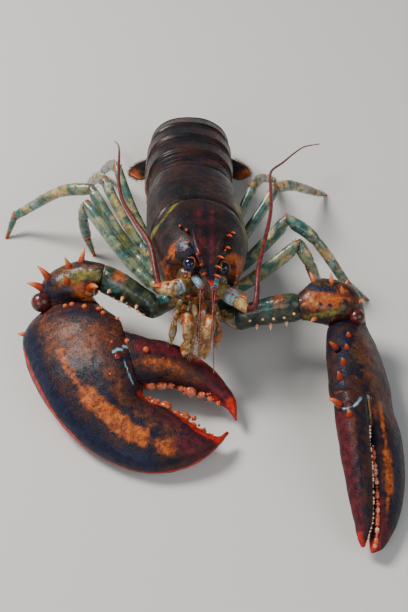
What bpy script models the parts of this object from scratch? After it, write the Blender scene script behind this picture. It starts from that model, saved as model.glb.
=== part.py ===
"""American lobster, a still life-size model in a natural walking stance.

The head points to -Y, the animal's left is +X and up is +Z. Sizes are in millimetres
and become metres where a mesh is written. The carapace and what sits on it are built
in the body frame, whose origin is the top of the carapace's rear edge: x to the
animal's left, y to its tail, z to its back. Limbs are built in the model frame.
"""
import math
import random

import bmesh
import bpy
from mathutils import Euler, Matrix, Vector

MM = 0.001
GAP = 0.3
SEED = 7
NAME = "american_lobster"

# Where the model stands: the shift puts the middle of its footprint at the origin.
MODEL_SHIFT = Vector((10.8, -13.4, 0.0))
BODY_POINT = Vector((-4.0, 92.0, 61.0))
BODY_PITCH = -11.0
BODY_ROLL = 12.0
BODY_YAW = 4.3
ABDOMEN_YAW = 4.0

# Carapace: distance forward of its rear edge, half width, top and lower edge.
CARAPACE = (
    (0.0, 24.5, 0.0, -38.0),
    (4.0, 26.0, 0.9, -39.0),
    (18.0, 28.2, 1.6, -42.0),
    (34.0, 29.0, 2.0, -44.0),
    (45.0, 28.6, 2.2, -44.0),
    (48.0, 27.2, 0.9, -44.0),
    (51.0, 28.2, 2.4, -44.0),
    (64.0, 27.2, 2.8, -43.0),
    (78.0, 24.6, 2.0, -41.0),
    (88.0, 21.6, 0.0, -38.0),
    (93.0, 19.4, -2.0, -35.0),
)
CARAPACE_SIDES = 22
CARAPACE_POWER = 2.35
CARAPACE_WIDEST = -22.0
CARAPACE_EDGE = 0.74
GROOVE_AT = 48.0
GROOVE_SWEEP = 17.0

# Rostrum: distance forward, half width, top height, thickness.
ROSTRUM = (
    (84.0, 9.5, 0.6, 6.0),
    (94.0, 8.2, -1.2, 5.6),
    (104.0, 5.4, -3.2, 5.0),
    (114.0, 3.6, -4.4, 3.8),
    (122.0, 1.9, -4.6, 2.6),
    (126.5, 0.5, -4.0, 1.0),
)
ROSTRAL_TEETH = ((99.0, 7.0), (107.0, 5.2), (114.5, 4.0))
TOOTH_LENGTH = 4.6
HEAD_SPINES = ((92.0, 11.5, -1.0), (84.0, 12.5, 2.0), (90.0, 17.5, -9.0))

# Face: the plate below the rostrum that carries eyes and feelers.
FACE_BACK = 93.0
FACE_FRONT = 101.0
FACE_HALF_WIDTH = 14.5
FACE_TOP = -15.0
FACE_BOTTOM = -33.0
RIDGE_HALF_WIDTH = 3.2
RIDGE_TOP = -8.6
RIDGE_FRONT = 103.0

EYE_CENTRE = Vector((9.6, -100.4, -9.6))
EYE_RADIUS = 4.9
EYE_STALK_RADIUS = 2.9
EYE_ROOT = (-98.2, -13.0)

# Thorax: the keel below the carapace from which every leg grows.
THORAX = ((10.0, 14.0, 6.5, 10.0), (24.0, 16.5, 8.0, 12.5), (60.0, 17.0, 8.0, 13.0), (90.0, 14.5, 7.0, 12.0))
HIPS = (82.0, 66.0, 51.5, 37.5, 24.0)

# Abdomen joints: length of the segment before, its slope, plane slope, roll, half width, height.
ABDOMEN = (
    (0.0, 11.0, 11.0, 12.0, 24.3, 38.0),
    (9.0, 11.0, 12.0, 11.0, 26.5, 37.5),
    (22.0, 13.0, 14.0, 9.0, 27.8, 37.0),
    (22.0, 15.0, 19.5, 7.0, 27.4, 35.0),
    (21.0, 24.0, 38.0, 4.5, 26.0, 32.0),
    (20.0, 53.0, 66.0, 2.0, 22.8, 24.0),
    (22.0, 86.0, 112.0, 0.0, 18.5, 13.0),
)
# Each segment's rings: place along it, swell of the plate, pleuron length beyond the belly.
SEGMENT_RINGS = (
    (0.0, 0.965, 0.0), (0.28, 0.975, 0.10), (0.42, 1.0, 0.17), (0.72, 1.01, 0.22), (1.0, 1.0, 0.04),
)
BELLY = 0.80
SWIMMERET_LENGTH = (0.0, 13.0, 11.0, 8.0, 6.0, 0.0)

# Tail fan, spread flat on the floor below the abdomen.
FAN_THICKNESS = 2.6
TELSON_LENGTH = 34.0
UROPOD_LENGTH = 36.0
INNER_HEADING = 19.0
OUTER_HEADING = 39.0

# Crusher claw, the animal's right: outer edge point, inner edge point, half thickness above, below.
CRUSHER_PALM = (
    ((-94, 3, 20), (-61, 1, 30), 10, 10),
    ((-101, -4, 15), (-54, -5, 30), 14, 12),
    ((-104, -13, 11), (-47, -13, 30), 17, 14),
    ((-102, -26, 9), (-38, -28, 28), 18, 14),
    ((-95, -44, 8), (-33, -46, 26), 18, 13),
    ((-84, -62, 7), (-34, -57, 22), 16, 12),
    ((-68, -81, 6), (-31, -61, 18), 14, 11),
    ((-49, -94, 6), (-22, -64, 16), 12.5, 9),
    ((-29, -100, 6), (-11, -70, 14), 11, 8),
    ((-9, -97, 7), (-1, -77, 12), 8.5, 6.5),
    ((5, -88, 8), (7, -80, 11), 5, 4.5),
    ((13.6, -77.0, 10.0), (12.6, -75.9, 10.4), 0.7, 0.7),
)
FIXED_FINGER_ROW = 5
CRUSHER_HINGE = ((-46, -19, 28), (-37.5, -54, 20))
CRUSHER_OPENS = Vector((1, 0, 0))
CRUSHER_FINGER = (
    ((-43, -21.5, 28), (-34.5, -52, 21), 12, 11),
    ((-33, -24, 26), (-25.5, -50, 19), 12, 11),
    ((-22, -24.5, 24), (-17, -49, 17), 11, 10),
    ((-10, -27.5, 20), (-8.5, -51, 15), 10, 9),
    ((2, -34.5, 16), (0, -52, 13), 8.5, 7.5),
    ((11, -44, 13), (8, -56, 11), 6.5, 5.5),
    ((17.5, -54, 11), (13.5, -60, 10), 4, 3.5),
    ((18.2, -67, 9.5), (17.4, -67.4, 9.5), 0.7, 0.7),
)
# Rounded crushing teeth: place, radius.
CRUSHER_PALM_TEETH = (
    ((-27.5, -62, 17.5), 3.2), ((-21.5, -64, 16.5), 4.2), ((-15.5, -67.5, 15), 2.8),
    ((-11, -69.5, 14.5), 3.6), ((-6, -74, 13.5), 2.2), ((-1.5, -77, 12.5), 1.8), ((3, -79.5, 12), 1.4),
)
CRUSHER_FINGER_TEETH = (
    ((-30, -51, 20), 3.4), ((-24.5, -50.5, 19), 2.8), ((-19, -49.5, 18), 2.0), ((-13, -50.5, 16.5), 2.0),
    ((-7.5, -51.5, 15), 3.6), ((-1.5, -52.5, 13.5), 2.4), ((3.5, -54.5, 12.5), 1.8), ((8, -57, 11.5), 1.5),
)
CRUSHER_SPINES = (
    ((-109, -9, 16), (-99, -11, 14), 2.6),
    ((-45, -12, 38), (-52, -15, 31), 2.4),
    ((-57, -3, 39), (-60, -9, 32), 2.4),
    ((-68, -3, 41), (-68, -9, 33), 2.4),
    ((-77, -4, 39), (-77, -9, 31), 2.2),
)
CRUSHER_KNOB = ((-38.5, -22.5, 31), 4.5)

# Cutter claw, the animal's left, rolled onto its outer edge.
CUTTER_PALM = (
    ((91, -11, 20), (74, -18, 36), 8.5, 8.5),
    ((94, -19, 12), (72.5, -26, 38), 11, 10),
    ((96.5, -32, 7), (72.5, -40, 40), 13, 12),
    ((99, -49, 4), (72, -56, 40), 14, 12),
    ((101, -64, 2), (72, -70, 38), 13, 11),
    ((103, -79, 1), (86, -84, 27), 11, 9),
    ((104.5, -97, 1), (86.4, -100, 23), 9.5, 7.5),
    ((103, -114, 1), (86.6, -114, 19), 8.5, 6.5),
    ((98.5, -130, 1.5), (86.4, -128, 15), 7, 5.5),
    ((93, -141, 3), (86, -140, 11.5), 5, 4),
    ((85.8, -150, 7), (85, -150, 7.6), 0.7, 0.7),
)
CUTTER_HINGE = ((71, -71, 38), (85.4, -67.5, 29.5))
CUTTER_OPENS = Vector((-0.3, -1, -0.2))
CUTTER_HINGE_DEPTH = 17.0
CUTTER_FINGER = (
    ((71.4, -72, 38), (84, -70, 30), 8.5, 8),
    ((71.6, -83, 36.5), (83.6, -85, 27), 8.5, 8),
    ((72.6, -95, 33), (84.3, -100, 23.5), 8, 7.5),
    ((74, -108, 29), (84.3, -113, 20), 7.5, 7),
    ((75.4, -121, 24), (84.2, -126, 16), 6.5, 6),
    ((77, -133, 19), (83.8, -137, 12.5), 5, 4.5),
    ((78.6, -141, 14), (82.6, -143, 10), 3.4, 3.2),
    ((80.2, -147.5, 9), (81, -147.5, 8.5), 0.7, 0.7),
)
CUTTER_TOOTH_COUNT = 13
CUTTER_TEETH_FROM = 32
EDGE_POINTS = 60
CUTTER_SPINES = (
    ((79.5, -33, 44.5), (80, -34, 39), 2.2),
    ((77.5, -42.5, 45.5), (78.5, -43.5, 39.5), 2.2),
    ((74.5, -53, 46), (76, -54, 40), 2.2),
    ((71.5, -62.5, 46), (73.5, -63.5, 39.5), 2.2),
    ((68.5, -42, 46.5), (73, -43, 41.5), 2),
    ((88, -70, 33.5), (88.5, -70, 26), 1.7),
    ((94, -64, 29), (93, -64, 20), 1.6),
)
CUTTER_FINGER_SPINES = (
    ((64.5, -77, 43), (73, -80, 37), 2.8),
    ((75, -86, 45), (76, -87, 38), 2),
)

# Arms: elbow and shoulder, and the direction in which the arm enters the carpus.
CRUSHER_ARM = (Vector((-29, -4, 33)), Vector((-59, 10.5, 43)), Vector((-0.97, 0.15, 0.2)))
CUTTER_ARM = (Vector((20, -8, 28)), Vector((55, -8, 38)), Vector((0.97, 0.0, 0.2)))
SHOULDER_HALF_WIDTH = 7.0
SHOULDER_HALF_HEIGHT = 8.0
# Carpus between the arm and the claw: front point, back point, half thickness above, below.
CRUSHER_CARPUS = (
    ((-64, 3.6, 38), (-70, 23, 42), 11, 11),
    ((-65, 3.4, 34), (-92, 17, 36), 13, 12),
)
CUTTER_CARPUS = (
    ((62, -16, 36), (66, 8, 42), 11, 11),
    ((70, -18.5, 36.5), (85, 4, 38), 12, 12),
)
CRUSHER_CARPUS_SPINES = (
    ((-80, 15, 55), (-79, 12, 42), 3.4),
    ((-96, 13, 50), (-89, 10, 38), 3.2),
    ((-80, 3, 53), (-80, 5, 40), 3.2),
    ((-103, 9, 40), (-92, 8, 34), 3),
    ((-60, -4, 50), (-66, 4, 38), 3.4),
    ((-69, 24, 54), (-72, 14, 42), 3),
)
CUTTER_CARPUS_SPINES = (
    ((60.5, 8, 50), (65, -2, 42), 3),
    ((55, -14, 46), (62, -9, 39), 3),
    ((72, 5, 53), (73, -4, 41), 3.2),
    ((77, -7, 54), (76, -8, 40), 3),
    ((82, 3, 49), (78, -6, 40), 3),
    ((91, -8, 44), (82, -9, 36), 3),
    ((60, -20, 38), (66, -12, 34), 2.6),
)
CRUSHER_ARM_SPINES = (
    ((-55, -4, 45), (-53, 3, 38), 2.2),
    ((-47, -7, 42), (-46, 0, 36), 2.2),
    ((-39, -10, 38), (-38, -3, 33), 2),
)
CUTTER_ARM_SPINES = (
    ((30, -17, 28), (31, -9, 27), 2),
    ((38, -18, 29), (38, -9, 29), 2),
    ((47, -17, 31), (47, -9, 31), 2.2),
)

# Walking legs: knee, wrist, root of the last joint and tip, for each side, front to back.
LEGS = {
    "right": (
        (Vector((-71, 69, 46)), Vector((-75, 72.5, 31)), Vector((-74, 74, 14)), Vector((-70, 72, 0))),
        (Vector((-70, 85, 45)), Vector((-91, 91, 37)), Vector((-122, 95, 13)), Vector((-128, 88, 0))),
        (Vector((-62, 93, 45)), Vector((-68, 106, 36)), Vector((-75, 126, 14)), Vector((-79, 137, 0))),
        (Vector((-55, 108, 43)), Vector((-60, 122, 33)), Vector((-67, 142, 12)), Vector((-71, 152, 0))),
    ),
    "left": (
        (Vector((56, 37, 44)), Vector((63, 31, 33)), Vector((70, 29, 14)), Vector((74, 31, 0))),
        (Vector((50, 52, 50)), Vector((66, 42, 43)), Vector((86, 31, 17)), Vector((101, 33, 0))),
        (Vector((45, 92, 40)), Vector((56, 103, 32)), Vector((72, 120, 12)), Vector((82, 130, 0))),
        (Vector((32, 104, 32)), Vector((37, 117, 26)), Vector((44, 136, 9)), Vector((48, 146, 0))),
    ),
}
HIP_SPAN = 4.0
HIP_REACH = 14.0
FOOT_SINK = 0.9
CARPUS_SIDES = 14

# Feelers: routes in the model frame, root to tip.
ANTENNA_ROUTES = {
    "right": ((-25, -15, 61), (-27, -4, 63), (-31, 17, 64), (-41, 40, 61), (-49, 62, 57), (-52, 80, 55),
              (-53, 98, 53), (-54, 118, 47), (-56, 138, 36), (-59, 158, 22), (-62, 176, 9)),
    "left": ((24, -27.5, 57), (27.5, -27, 58), (29, -20, 60), (31, 2, 61), (36, 30, 58),
             (40, 56, 55), (41, 84, 50), (42.5, 103, 44), (51, 120, 37), (59, 136, 31), (67, 149, 26),
             (78, 157, 22)),
}
ANTENNA_RADIUS = 1.9
ANTENNA_POINTS = 34
ANTENNA_ROOTS = {"right": (Vector((-11, -15, 60)), Vector((-18, -17, 62)), Vector((-25, -15, 61))),
                 "left": (Vector((13, -17, 55)), Vector((19, -23, 58)), Vector((24, -27.5, 57)))}
PEDUNCLE_RADIUS = 3.9

ANTENNULE_TIPS = {"right": (Vector((-3, -68, 63)), Vector((-6, -62, 60))),
                  "left": (Vector((5, -78, 63)), Vector((3, -62, 64)))}
ANTENNULE_RADIUS = 0.75

MAXILLIPED_LENGTH = (13.0, 15.0, 12.0)
MAXILLIPED_RADIUS = 4.2

COLOURS = {
    "shell_dark": ((0.045, 0.022, 0.020), 0.30),
    "shell_claw": ((0.060, 0.025, 0.022), 0.28),
    "shell_belly": ((0.35, 0.20, 0.09), 0.42),
    "limb_teal": ((0.12, 0.20, 0.16), 0.35),
    "feeler_red": ((0.22, 0.035, 0.025), 0.40),
    "eye_black": ((0.006, 0.008, 0.03), 0.08),
}


def clear_scene():
    """Remove the objects the scene starts with."""
    for item in list(bpy.data.objects):
        bpy.data.objects.remove(item, do_unlink=True)


def make_materials():
    """One plain Principled material for each finish."""
    made = {}
    for name, (colour, roughness) in COLOURS.items():
        material = bpy.data.materials.new(name)
        material.use_nodes = True
        shader = material.node_tree.nodes["Principled BSDF"]
        shader.inputs["Base Color"].default_value = (*colour, 1.0)
        shader.inputs["Roughness"].default_value = roughness
        shader.inputs["Metallic"].default_value = 0.0
        made[name] = material
    return made


def body_matrix():
    """The body frame in the model frame, in millimetres."""
    turn = Euler((math.radians(BODY_PITCH), math.radians(BODY_ROLL), math.radians(BODY_YAW)), "YXZ")
    return Matrix.Translation(BODY_POINT) @ turn.to_matrix().to_4x4()


def from_body(point):
    """A point of the body frame, in the model frame."""
    return body_matrix() @ Vector(point)


def body_direction(direction):
    """A direction of the body frame, in the model frame."""
    return body_matrix().to_3x3() @ Vector(direction)


def mirrored(point, side):
    """The point on the animal's left, or its mirror image on the right."""
    x, y, z = point
    return Vector((x if side == "left" else -x, y, z))


def smooth_route(points, count):
    """Points spread along a Catmull-Rom curve through the given ones."""
    points = [Vector(point) for point in points]
    ends = [2 * points[0] - points[1], *points, 2 * points[-1] - points[-2]]
    spans = len(points) - 1
    route = []
    for step in range(count):
        place = spans * step / (count - 1)
        span = min(int(place), spans - 1)
        t = place - span
        a, b, c, d = ends[span:span + 4]
        route.append(0.5 * (2 * b + (c - a) * t + (2 * a - 5 * b + 4 * c - d) * t * t
                            + (3 * b - a - 3 * c + d) * t ** 3))
    return route


def bend_route(start, control, end, count):
    """Points on a quadratic curve that leaves the start toward the control point."""
    route = []
    for step in range(count):
        t = step / (count - 1)
        route.append(start * (1 - t) ** 2 + control * 2 * t * (1 - t) + end * t * t)
    return route


def ring(centre, across, up, half_width, above, below, sides=12, power=2.2):
    """A closed ring round a centre: a superellipse with its own height above and below."""
    points = []
    for step in range(sides):
        angle = math.tau * step / sides
        c, s = math.cos(angle), math.sin(angle)
        x = half_width * math.copysign(abs(c) ** (2 / power), c)
        z = (above if s > 0 else below) * math.copysign(abs(s) ** (2 / power), s)
        points.append(centre + across * x + up * z)
    return points


def loft(rings):
    """A closed mesh through rings of equal count, with flat ends."""
    mesh = bmesh.new()
    loops = [[mesh.verts.new(point) for point in points] for points in rings]
    count = len(loops[0])
    for near, far in zip(loops, loops[1:]):
        for i in range(count):
            mesh.faces.new((near[i], near[i - 1], far[i - 1], far[i]))
    mesh.faces.new(loops[0])
    mesh.faces.new(list(reversed(loops[-1])))
    bmesh.ops.recalc_face_normals(mesh, faces=mesh.faces[:])
    return mesh


def cone(root, tip, radius, sides=5):
    """A pointed spine from a root sunk in its carrier."""
    root, tip = Vector(root), Vector(tip)
    axis = tip - root
    place = Matrix.Translation((root + tip) / 2) @ axis.to_track_quat("Z", "Y").to_matrix().to_4x4()
    mesh = bmesh.new()
    bmesh.ops.create_cone(mesh, cap_ends=True, segments=sides, radius1=radius, radius2=radius * 0.08,
                          depth=axis.length, matrix=place)
    return mesh


def bead(centre, radius):
    """A rounded tooth or knob."""
    mesh = bmesh.new()
    bmesh.ops.create_icosphere(mesh, subdivisions=1, radius=radius, matrix=Matrix.Translation(Vector(centre)))
    return mesh


def cut_floor(mesh):
    """Cut a mesh in the model frame flat at the floor."""
    geometry = mesh.verts[:] + mesh.edges[:] + mesh.faces[:]
    cut = bmesh.ops.bisect_plane(mesh, geom=geometry, plane_co=(0, 0, 0), plane_no=(0, 0, 1),
                                 clear_inner=True)
    edges = [item for item in cut["geom_cut"] if isinstance(item, bmesh.types.BMEdge)]
    if edges:
        bmesh.ops.holes_fill(mesh, edges=edges)
    return mesh


def new_object(name, mesh, collection, material, origin=(0, 0, 0), parent=None):
    """An object from a mesh in millimetres, its own origin at the given point."""
    origin = Vector(origin)
    for vertex in mesh.verts:
        vertex.co = (vertex.co - origin) * MM
    data = bpy.data.meshes.new(name)
    mesh.to_mesh(data)
    mesh.free()
    data.materials.append(material)
    item = bpy.data.objects.new(name, data)
    item.location = origin * MM
    item.parent = parent
    collection.objects.link(item)
    return item


def keep_largest(item):
    """Drop every closed surface of a mesh but the largest."""
    mesh = bmesh.new()
    mesh.from_mesh(item.data)
    bmesh.ops.remove_doubles(mesh, verts=mesh.verts[:], dist=0.002 * MM)
    bmesh.ops.dissolve_degenerate(mesh, edges=mesh.edges[:], dist=0.002 * MM)
    left = set(mesh.faces)
    islands = []
    while left:
        stack = [left.pop()]
        island = list(stack)
        while stack:
            for edge in stack.pop().edges:
                for face in edge.link_faces:
                    if face in left:
                        left.remove(face)
                        stack.append(face)
                        island.append(face)
        islands.append(island)
    islands.sort(key=lambda island: sum(face.calc_area() for face in island))
    extra = [face for island in islands[:-1] for face in island]
    if extra:
        bmesh.ops.delete(mesh, geom=extra, context="FACES")
    mesh.to_mesh(item.data)
    mesh.free()


def bake(item):
    """Replace an object's mesh by its evaluated one and drop its modifiers."""
    bpy.context.view_layer.update()
    evaluated = item.evaluated_get(bpy.context.evaluated_depsgraph_get())
    data = bpy.data.meshes.new_from_object(evaluated)
    old = item.data
    item.modifiers.clear()
    item.data = data
    data.name = item.name
    bpy.data.meshes.remove(old)


def fuse(item, pieces):
    """Join closed pieces to an object with one Boolean union on a collection."""
    if not pieces:
        return item
    loose = bpy.data.collections.new("loose pieces")
    bpy.context.scene.collection.children.link(loose)
    for number, piece in enumerate(pieces):
        new_object(f"piece_{number}", piece, loose, item.data.materials[0],
                   item.location / MM, None).parent = item.parent
    union = item.modifiers.new("fuse", "BOOLEAN")
    union.operation = "UNION"
    union.operand_type = "COLLECTION"
    union.collection = loose
    union.solver = "EXACT"
    bake(item)
    for piece in list(loose.objects):
        bpy.data.objects.remove(piece, do_unlink=True)
    bpy.data.collections.remove(loose)
    keep_largest(item)
    return item


def finish_shading(item, angle=38.0):
    """Smooth shading with sharp edges where faces meet steeply."""
    item.data.shade_smooth()
    item.data.set_sharp_from_angle(angle=math.radians(angle))


class Builder:
    """Adds named nodes to the model's collection."""

    def __init__(self):
        self.scene = bpy.context.scene
        self.collection = bpy.data.collections.new(NAME)
        self.cutters = bpy.data.collections.new("cutters")
        self.scene.collection.children.link(self.collection)
        self.scene.collection.children.link(self.cutters)
        self.materials = make_materials()
        self.root = bpy.data.objects.new("stand_point", None)
        self.root.location = MODEL_SHIFT * MM
        self.collection.objects.link(self.root)
        self.body = bpy.data.objects.new("body_frame", None)
        self.body.parent = self.root
        frame = body_matrix()
        self.body.matrix_basis = Matrix.Translation(BODY_POINT * MM) @ frame.to_3x3().to_4x4()
        self.collection.objects.link(self.body)
        bpy.context.view_layer.update()

    def node(self, name, mesh, material, origin=(0, 0, 0), in_body=False, pieces=()):
        """A named node with its small forms fused in."""
        parent = self.body if in_body else self.root
        item = new_object(name, mesh, self.collection, self.materials[material], origin, parent)
        fuse(item, list(pieces))
        finish_shading(item)
        return item


def blend(table, place):
    """Linear values from a table whose rows start with their place."""
    for low, high in zip(table, table[1:]):
        if place <= high[0]:
            t = (place - low[0]) / (high[0] - low[0])
            return [a + (b - a) * t for a, b in zip(low[1:], high[1:])]
    return list(table[-1][1:])


def groove_sweep(forward):
    """How far the rings lean forward at the sides, most at the cervical groove."""
    return GROOVE_SWEEP * max(0.0, 1.0 - abs(forward - GROOVE_AT) / 45.0) ** 1.4


def carapace_ring(forward, half_width, top, edge):
    """One ring of the carapace: an arch whose sides turn in to the lower edge."""
    points = []
    start = -math.radians(34)
    for step in range(CARAPACE_SIDES - 1):
        angle = start + (math.pi - 2 * start) * step / (CARAPACE_SIDES - 2)
        c, s = math.cos(angle), math.sin(angle)
        x = half_width * math.copysign(abs(c) ** (2 / CARAPACE_POWER), c)
        if s >= 0:
            z = CARAPACE_WIDEST + (top - CARAPACE_WIDEST) * s ** (2 / CARAPACE_POWER)
            lean = groove_sweep(forward) * (1 - s) ** 0.8
        else:
            depth = s / math.sin(start)
            z = CARAPACE_WIDEST + (edge - CARAPACE_WIDEST) * depth ** 0.8
            x = math.copysign(half_width * (1 - (1 - CARAPACE_EDGE) * depth ** 1.6), c)
            lean = groove_sweep(forward) * (1 - depth ** 2)
        points.append(Vector((x, -forward - lean, z)))
    points.append(Vector((0, -forward, edge)))
    return points


def rostrum_mesh():
    """The pointed rostrum, a loft that starts inside the carapace."""
    rings = []
    for forward, half_width, top, thickness in ROSTRUM:
        centre = Vector((0, -forward, top - thickness / 2))
        rings.append(ring(centre, Vector((1, 0, 0)), Vector((0, 0, 1)), half_width,
                          thickness / 2, thickness / 2, 8, 2.0))
    return loft(rings)


def rostrum_pieces():
    """Teeth along the rostrum and the spines behind the eyes."""
    pieces = [rostrum_mesh()]
    for side in ("left", "right"):
        for forward, half_width in ROSTRAL_TEETH:
            top = blend(ROSTRUM, forward)[1]
            root = mirrored((half_width - 2.0, -forward, top - 2.0), side)
            tip = mirrored((half_width + 1.2, -forward - TOOTH_LENGTH, top + 0.4), side)
            pieces.append(cone(root, tip, 1.4))
        for forward, out, height in HEAD_SPINES:
            root = mirrored((out - 1.0, -forward + 3.0, height - 3.0), side)
            tip = mirrored((out + 0.6, -forward - 3.5, height + 1.4), side)
            pieces.append(cone(root, tip, 1.6))
    return pieces


def build_carapace(builder):
    """Carapace with rostrum, groove and head spines."""
    rings = [carapace_ring(*row) for row in CARAPACE]
    for point in rings[0]:
        point.y = -GAP
    for point in rings[-1]:
        point.y = -FACE_BACK
    builder.node("carapace", loft(rings), "shell_dark", in_body=True, pieces=rostrum_pieces())


def thorax_side(forward, side):
    """Top and bottom of the thorax's sloped side, in the body frame."""
    top_half, low_half, depth = blend(THORAX, forward)
    top = blend(CARAPACE, forward)[2] - GAP * 1.15
    return mirrored((top_half, -forward, top), side), mirrored((low_half, -forward, top - depth), side)


def build_thorax(builder):
    """The keel between the legs, its sides sloped where the legs root."""
    rings = []
    first, last = THORAX[0][0], THORAX[-1][0]
    for forward in (first, *(row[0] for row in CARAPACE if first < row[0] < last), last):
        left_top, left_low = thorax_side(forward, "left")
        right_top, right_low = thorax_side(forward, "right")
        rings.append([right_top, left_top, left_low, right_low])
    builder.node("thorax", loft(rings), "shell_belly", in_body=True)


def thorax_hip(forward, side):
    """Where a leg roots on the thorax's sloped side, and the outward normal, in the model frame."""
    top, low = thorax_side(forward, side)
    back_top, back_low = thorax_side(forward - HIP_SPAN, side)
    front_top, front_low = thorax_side(forward + HIP_SPAN, side)
    along = front_top + front_low - back_top - back_low
    normal = along.cross(low - top).normalized()
    if normal.x * top.x < 0:
        normal = -normal
    return from_body((top + low) / 2), body_direction(normal)


def abdomen_joints():
    """The planes between the abdomen's segments: matrices at the top of each plane, with sizes."""
    joints = []
    yaw = Matrix.Rotation(math.radians(ABDOMEN_YAW), 3, "Z")
    top = Vector((0.0, 0.0, 0.0))
    for length, slope, plane, roll, half_width, height in ABDOMEN:
        slope = math.radians(slope)
        top = top + Vector((0.0, length * math.cos(slope), -length * math.sin(slope)))
        tilt = Matrix.Rotation(-math.radians(plane), 3, "X") @ Matrix.Rotation(math.radians(roll), 3, "Y")
        joints.append((BODY_POINT + yaw @ top, (yaw @ tilt).to_quaternion(), half_width, height))
    return joints


def segment_half_section(half_width, height, pleuron):
    """Half of a segment's outline, from the middle of the back to the middle of the belly."""
    points = []
    for step in range(8):
        angle = math.radians(90 * step / 7)
        x = half_width * math.sin(angle) ** (2 / 2.3)
        z = -0.66 * height * (1 - math.cos(angle) ** (2 / 2.3))
        points.append((x, z))
    drop = BELLY * height + pleuron * height
    points.append((half_width * 1.02, -0.5 * (0.66 * height + drop)))
    points.append((half_width * 0.97, -drop))
    points.append((half_width * 0.86, -BELLY * height))
    points.append((half_width * 0.45, -BELLY * height - 0.2))
    points.append((0.0, -BELLY * height - 0.2))
    return points


def segment_ring(joint_a, joint_b, place, swell, pleuron, gap):
    """One ring of a segment, between its two joint planes."""
    point = joint_a[0].lerp(joint_b[0], place)
    turn = joint_a[1].slerp(joint_b[1], place)
    half_width = joint_a[2] + (joint_b[2] - joint_a[2]) * place
    height = joint_a[3] + (joint_b[3] - joint_a[3]) * place
    half = segment_half_section(half_width * swell, height, pleuron)
    outline = half + [(-x, z) for x, z in reversed(half[1:-1])]
    rise = height * (swell - 1.0)
    return [point + turn @ Vector((x, gap, z + rise)) for x, z in outline]


def swimmerets(joint_a, joint_b, length):
    """A pair of flat leaf-shaped swimmerets below a segment, swept back."""
    pieces = []
    centre = joint_a[0].lerp(joint_b[0], 0.45)
    turn = joint_a[1].slerp(joint_b[1], 0.45)
    depth = BELLY * (joint_a[3] + joint_b[3]) / 2
    reach = (joint_a[2] + joint_b[2]) / 4
    for sign in (1, -1):
        rings = []
        for step, (along, width) in enumerate(((-0.25, 0.5), (0.2, 0.8), (0.6, 1.0), (0.9, 0.7), (1.0, 0.3))):
            place = Vector((sign * (reach + 0.1 * reach * along), length * 0.55 * along,
                            -depth - length * 0.42 * along))
            across = turn @ Vector((1, 0, 0))
            up = turn @ Vector((0, 0.6, 0.8))
            rings.append(ring(centre + turn @ place, across, up, 4.6 * width, 0.9, 0.9, 6, 2.0))
        pieces.append(loft(rings))
    return pieces


def build_abdomen(builder):
    """Six shell segments with their side plates and swimmerets."""
    joints = abdomen_joints()
    for number in range(6):
        near, far = joints[number], joints[number + 1]
        rings = []
        for place, swell, pleuron in SEGMENT_RINGS:
            gap = GAP / 2 if place == 0.0 else -GAP / 2 if place == 1.0 else 0.0
            lobe = pleuron if number < 5 else pleuron * 0.3
            rings.append(segment_ring(near, far, place, swell, lobe, gap))
        length = SWIMMERET_LENGTH[number]
        pieces = swimmerets(near, far, length) if length else ()
        builder.node(f"abdomen_{number + 1}", loft(rings), "shell_dark", joints[number][0], pieces=pieces)


def fan_ring(centre, across, half_width, height):
    """A flat-bottomed section of a tail plate on the floor."""
    points = []
    for x, z in ((-1, 0), (-0.97, 0.5), (-0.7, 0.85), (0, 1), (0.7, 0.85), (0.97, 0.5), (1, 0), (0, 0)):
        point = centre + across * (half_width * x)
        points.append(Vector((point.x, point.y, height * z)))
    return points


def tail_plate(base, heading, stations):
    """A plate of the tail fan from its base, along a heading on the floor."""
    angle = math.radians(heading)
    along = Vector((math.sin(angle), -math.cos(angle), 0.0))
    across = Vector((math.cos(angle), math.sin(angle), 0.0))
    return loft([fan_ring(base + along * place, across, half_width, height)
                 for place, half_width, height in stations])


def build_tail_fan(builder):
    """Telson and two pairs of uropods below the end of the abdomen."""
    joint = abdomen_joints()[-1][0]
    middle = Vector((joint.x, joint.y - 1.0, 0.0))
    telson = ((0.0, 7.5, 2.4), (9.5, 8.4, 6.0), (13.0, 9.0, 4.2), (20.0, 9.8, 2.6), (28.0, 9.4, 2.4),
              (32.5, 7.0, 2.0), (TELSON_LENGTH, 4.0, 1.2))
    builder.node("telson", tail_plate(middle, 0.0, telson), "shell_dark", middle)
    for side, sign in (("left", 1), ("right", -1)):
        inner = middle + Vector((sign * 10.6, -1.0, 0.0))
        stations = ((0.0, 2.3, 2.3), (7.0, 2.5, 5.2), (13.0, 4.4, 3.6), (20.0, 6.4, 2.6), (28.0, 7.4, 2.4),
                    (34.0, 5.6, 2.0), (UROPOD_LENGTH, 3.0, 1.2))
        plate = tail_plate(inner, sign * INNER_HEADING, stations)
        builder.node(f"uropod_inner_{side}", plate, "shell_dark", inner)
        outer = middle + Vector((sign * 15.9, 0.5, 0.0))
        stations = ((0.0, 2.2, 2.3), (6.0, 2.5, 4.7), (13.0, 3.8, 3.6), (20.0, 5.8, 2.6), (28.0, 7.4, 2.4),
                    (34.0, 5.8, 2.0), (UROPOD_LENGTH, 3.2, 1.2))
        plate = tail_plate(outer, sign * OUTER_HEADING, stations)
        builder.node(f"uropod_outer_{side}", plate, "shell_dark", outer)


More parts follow.
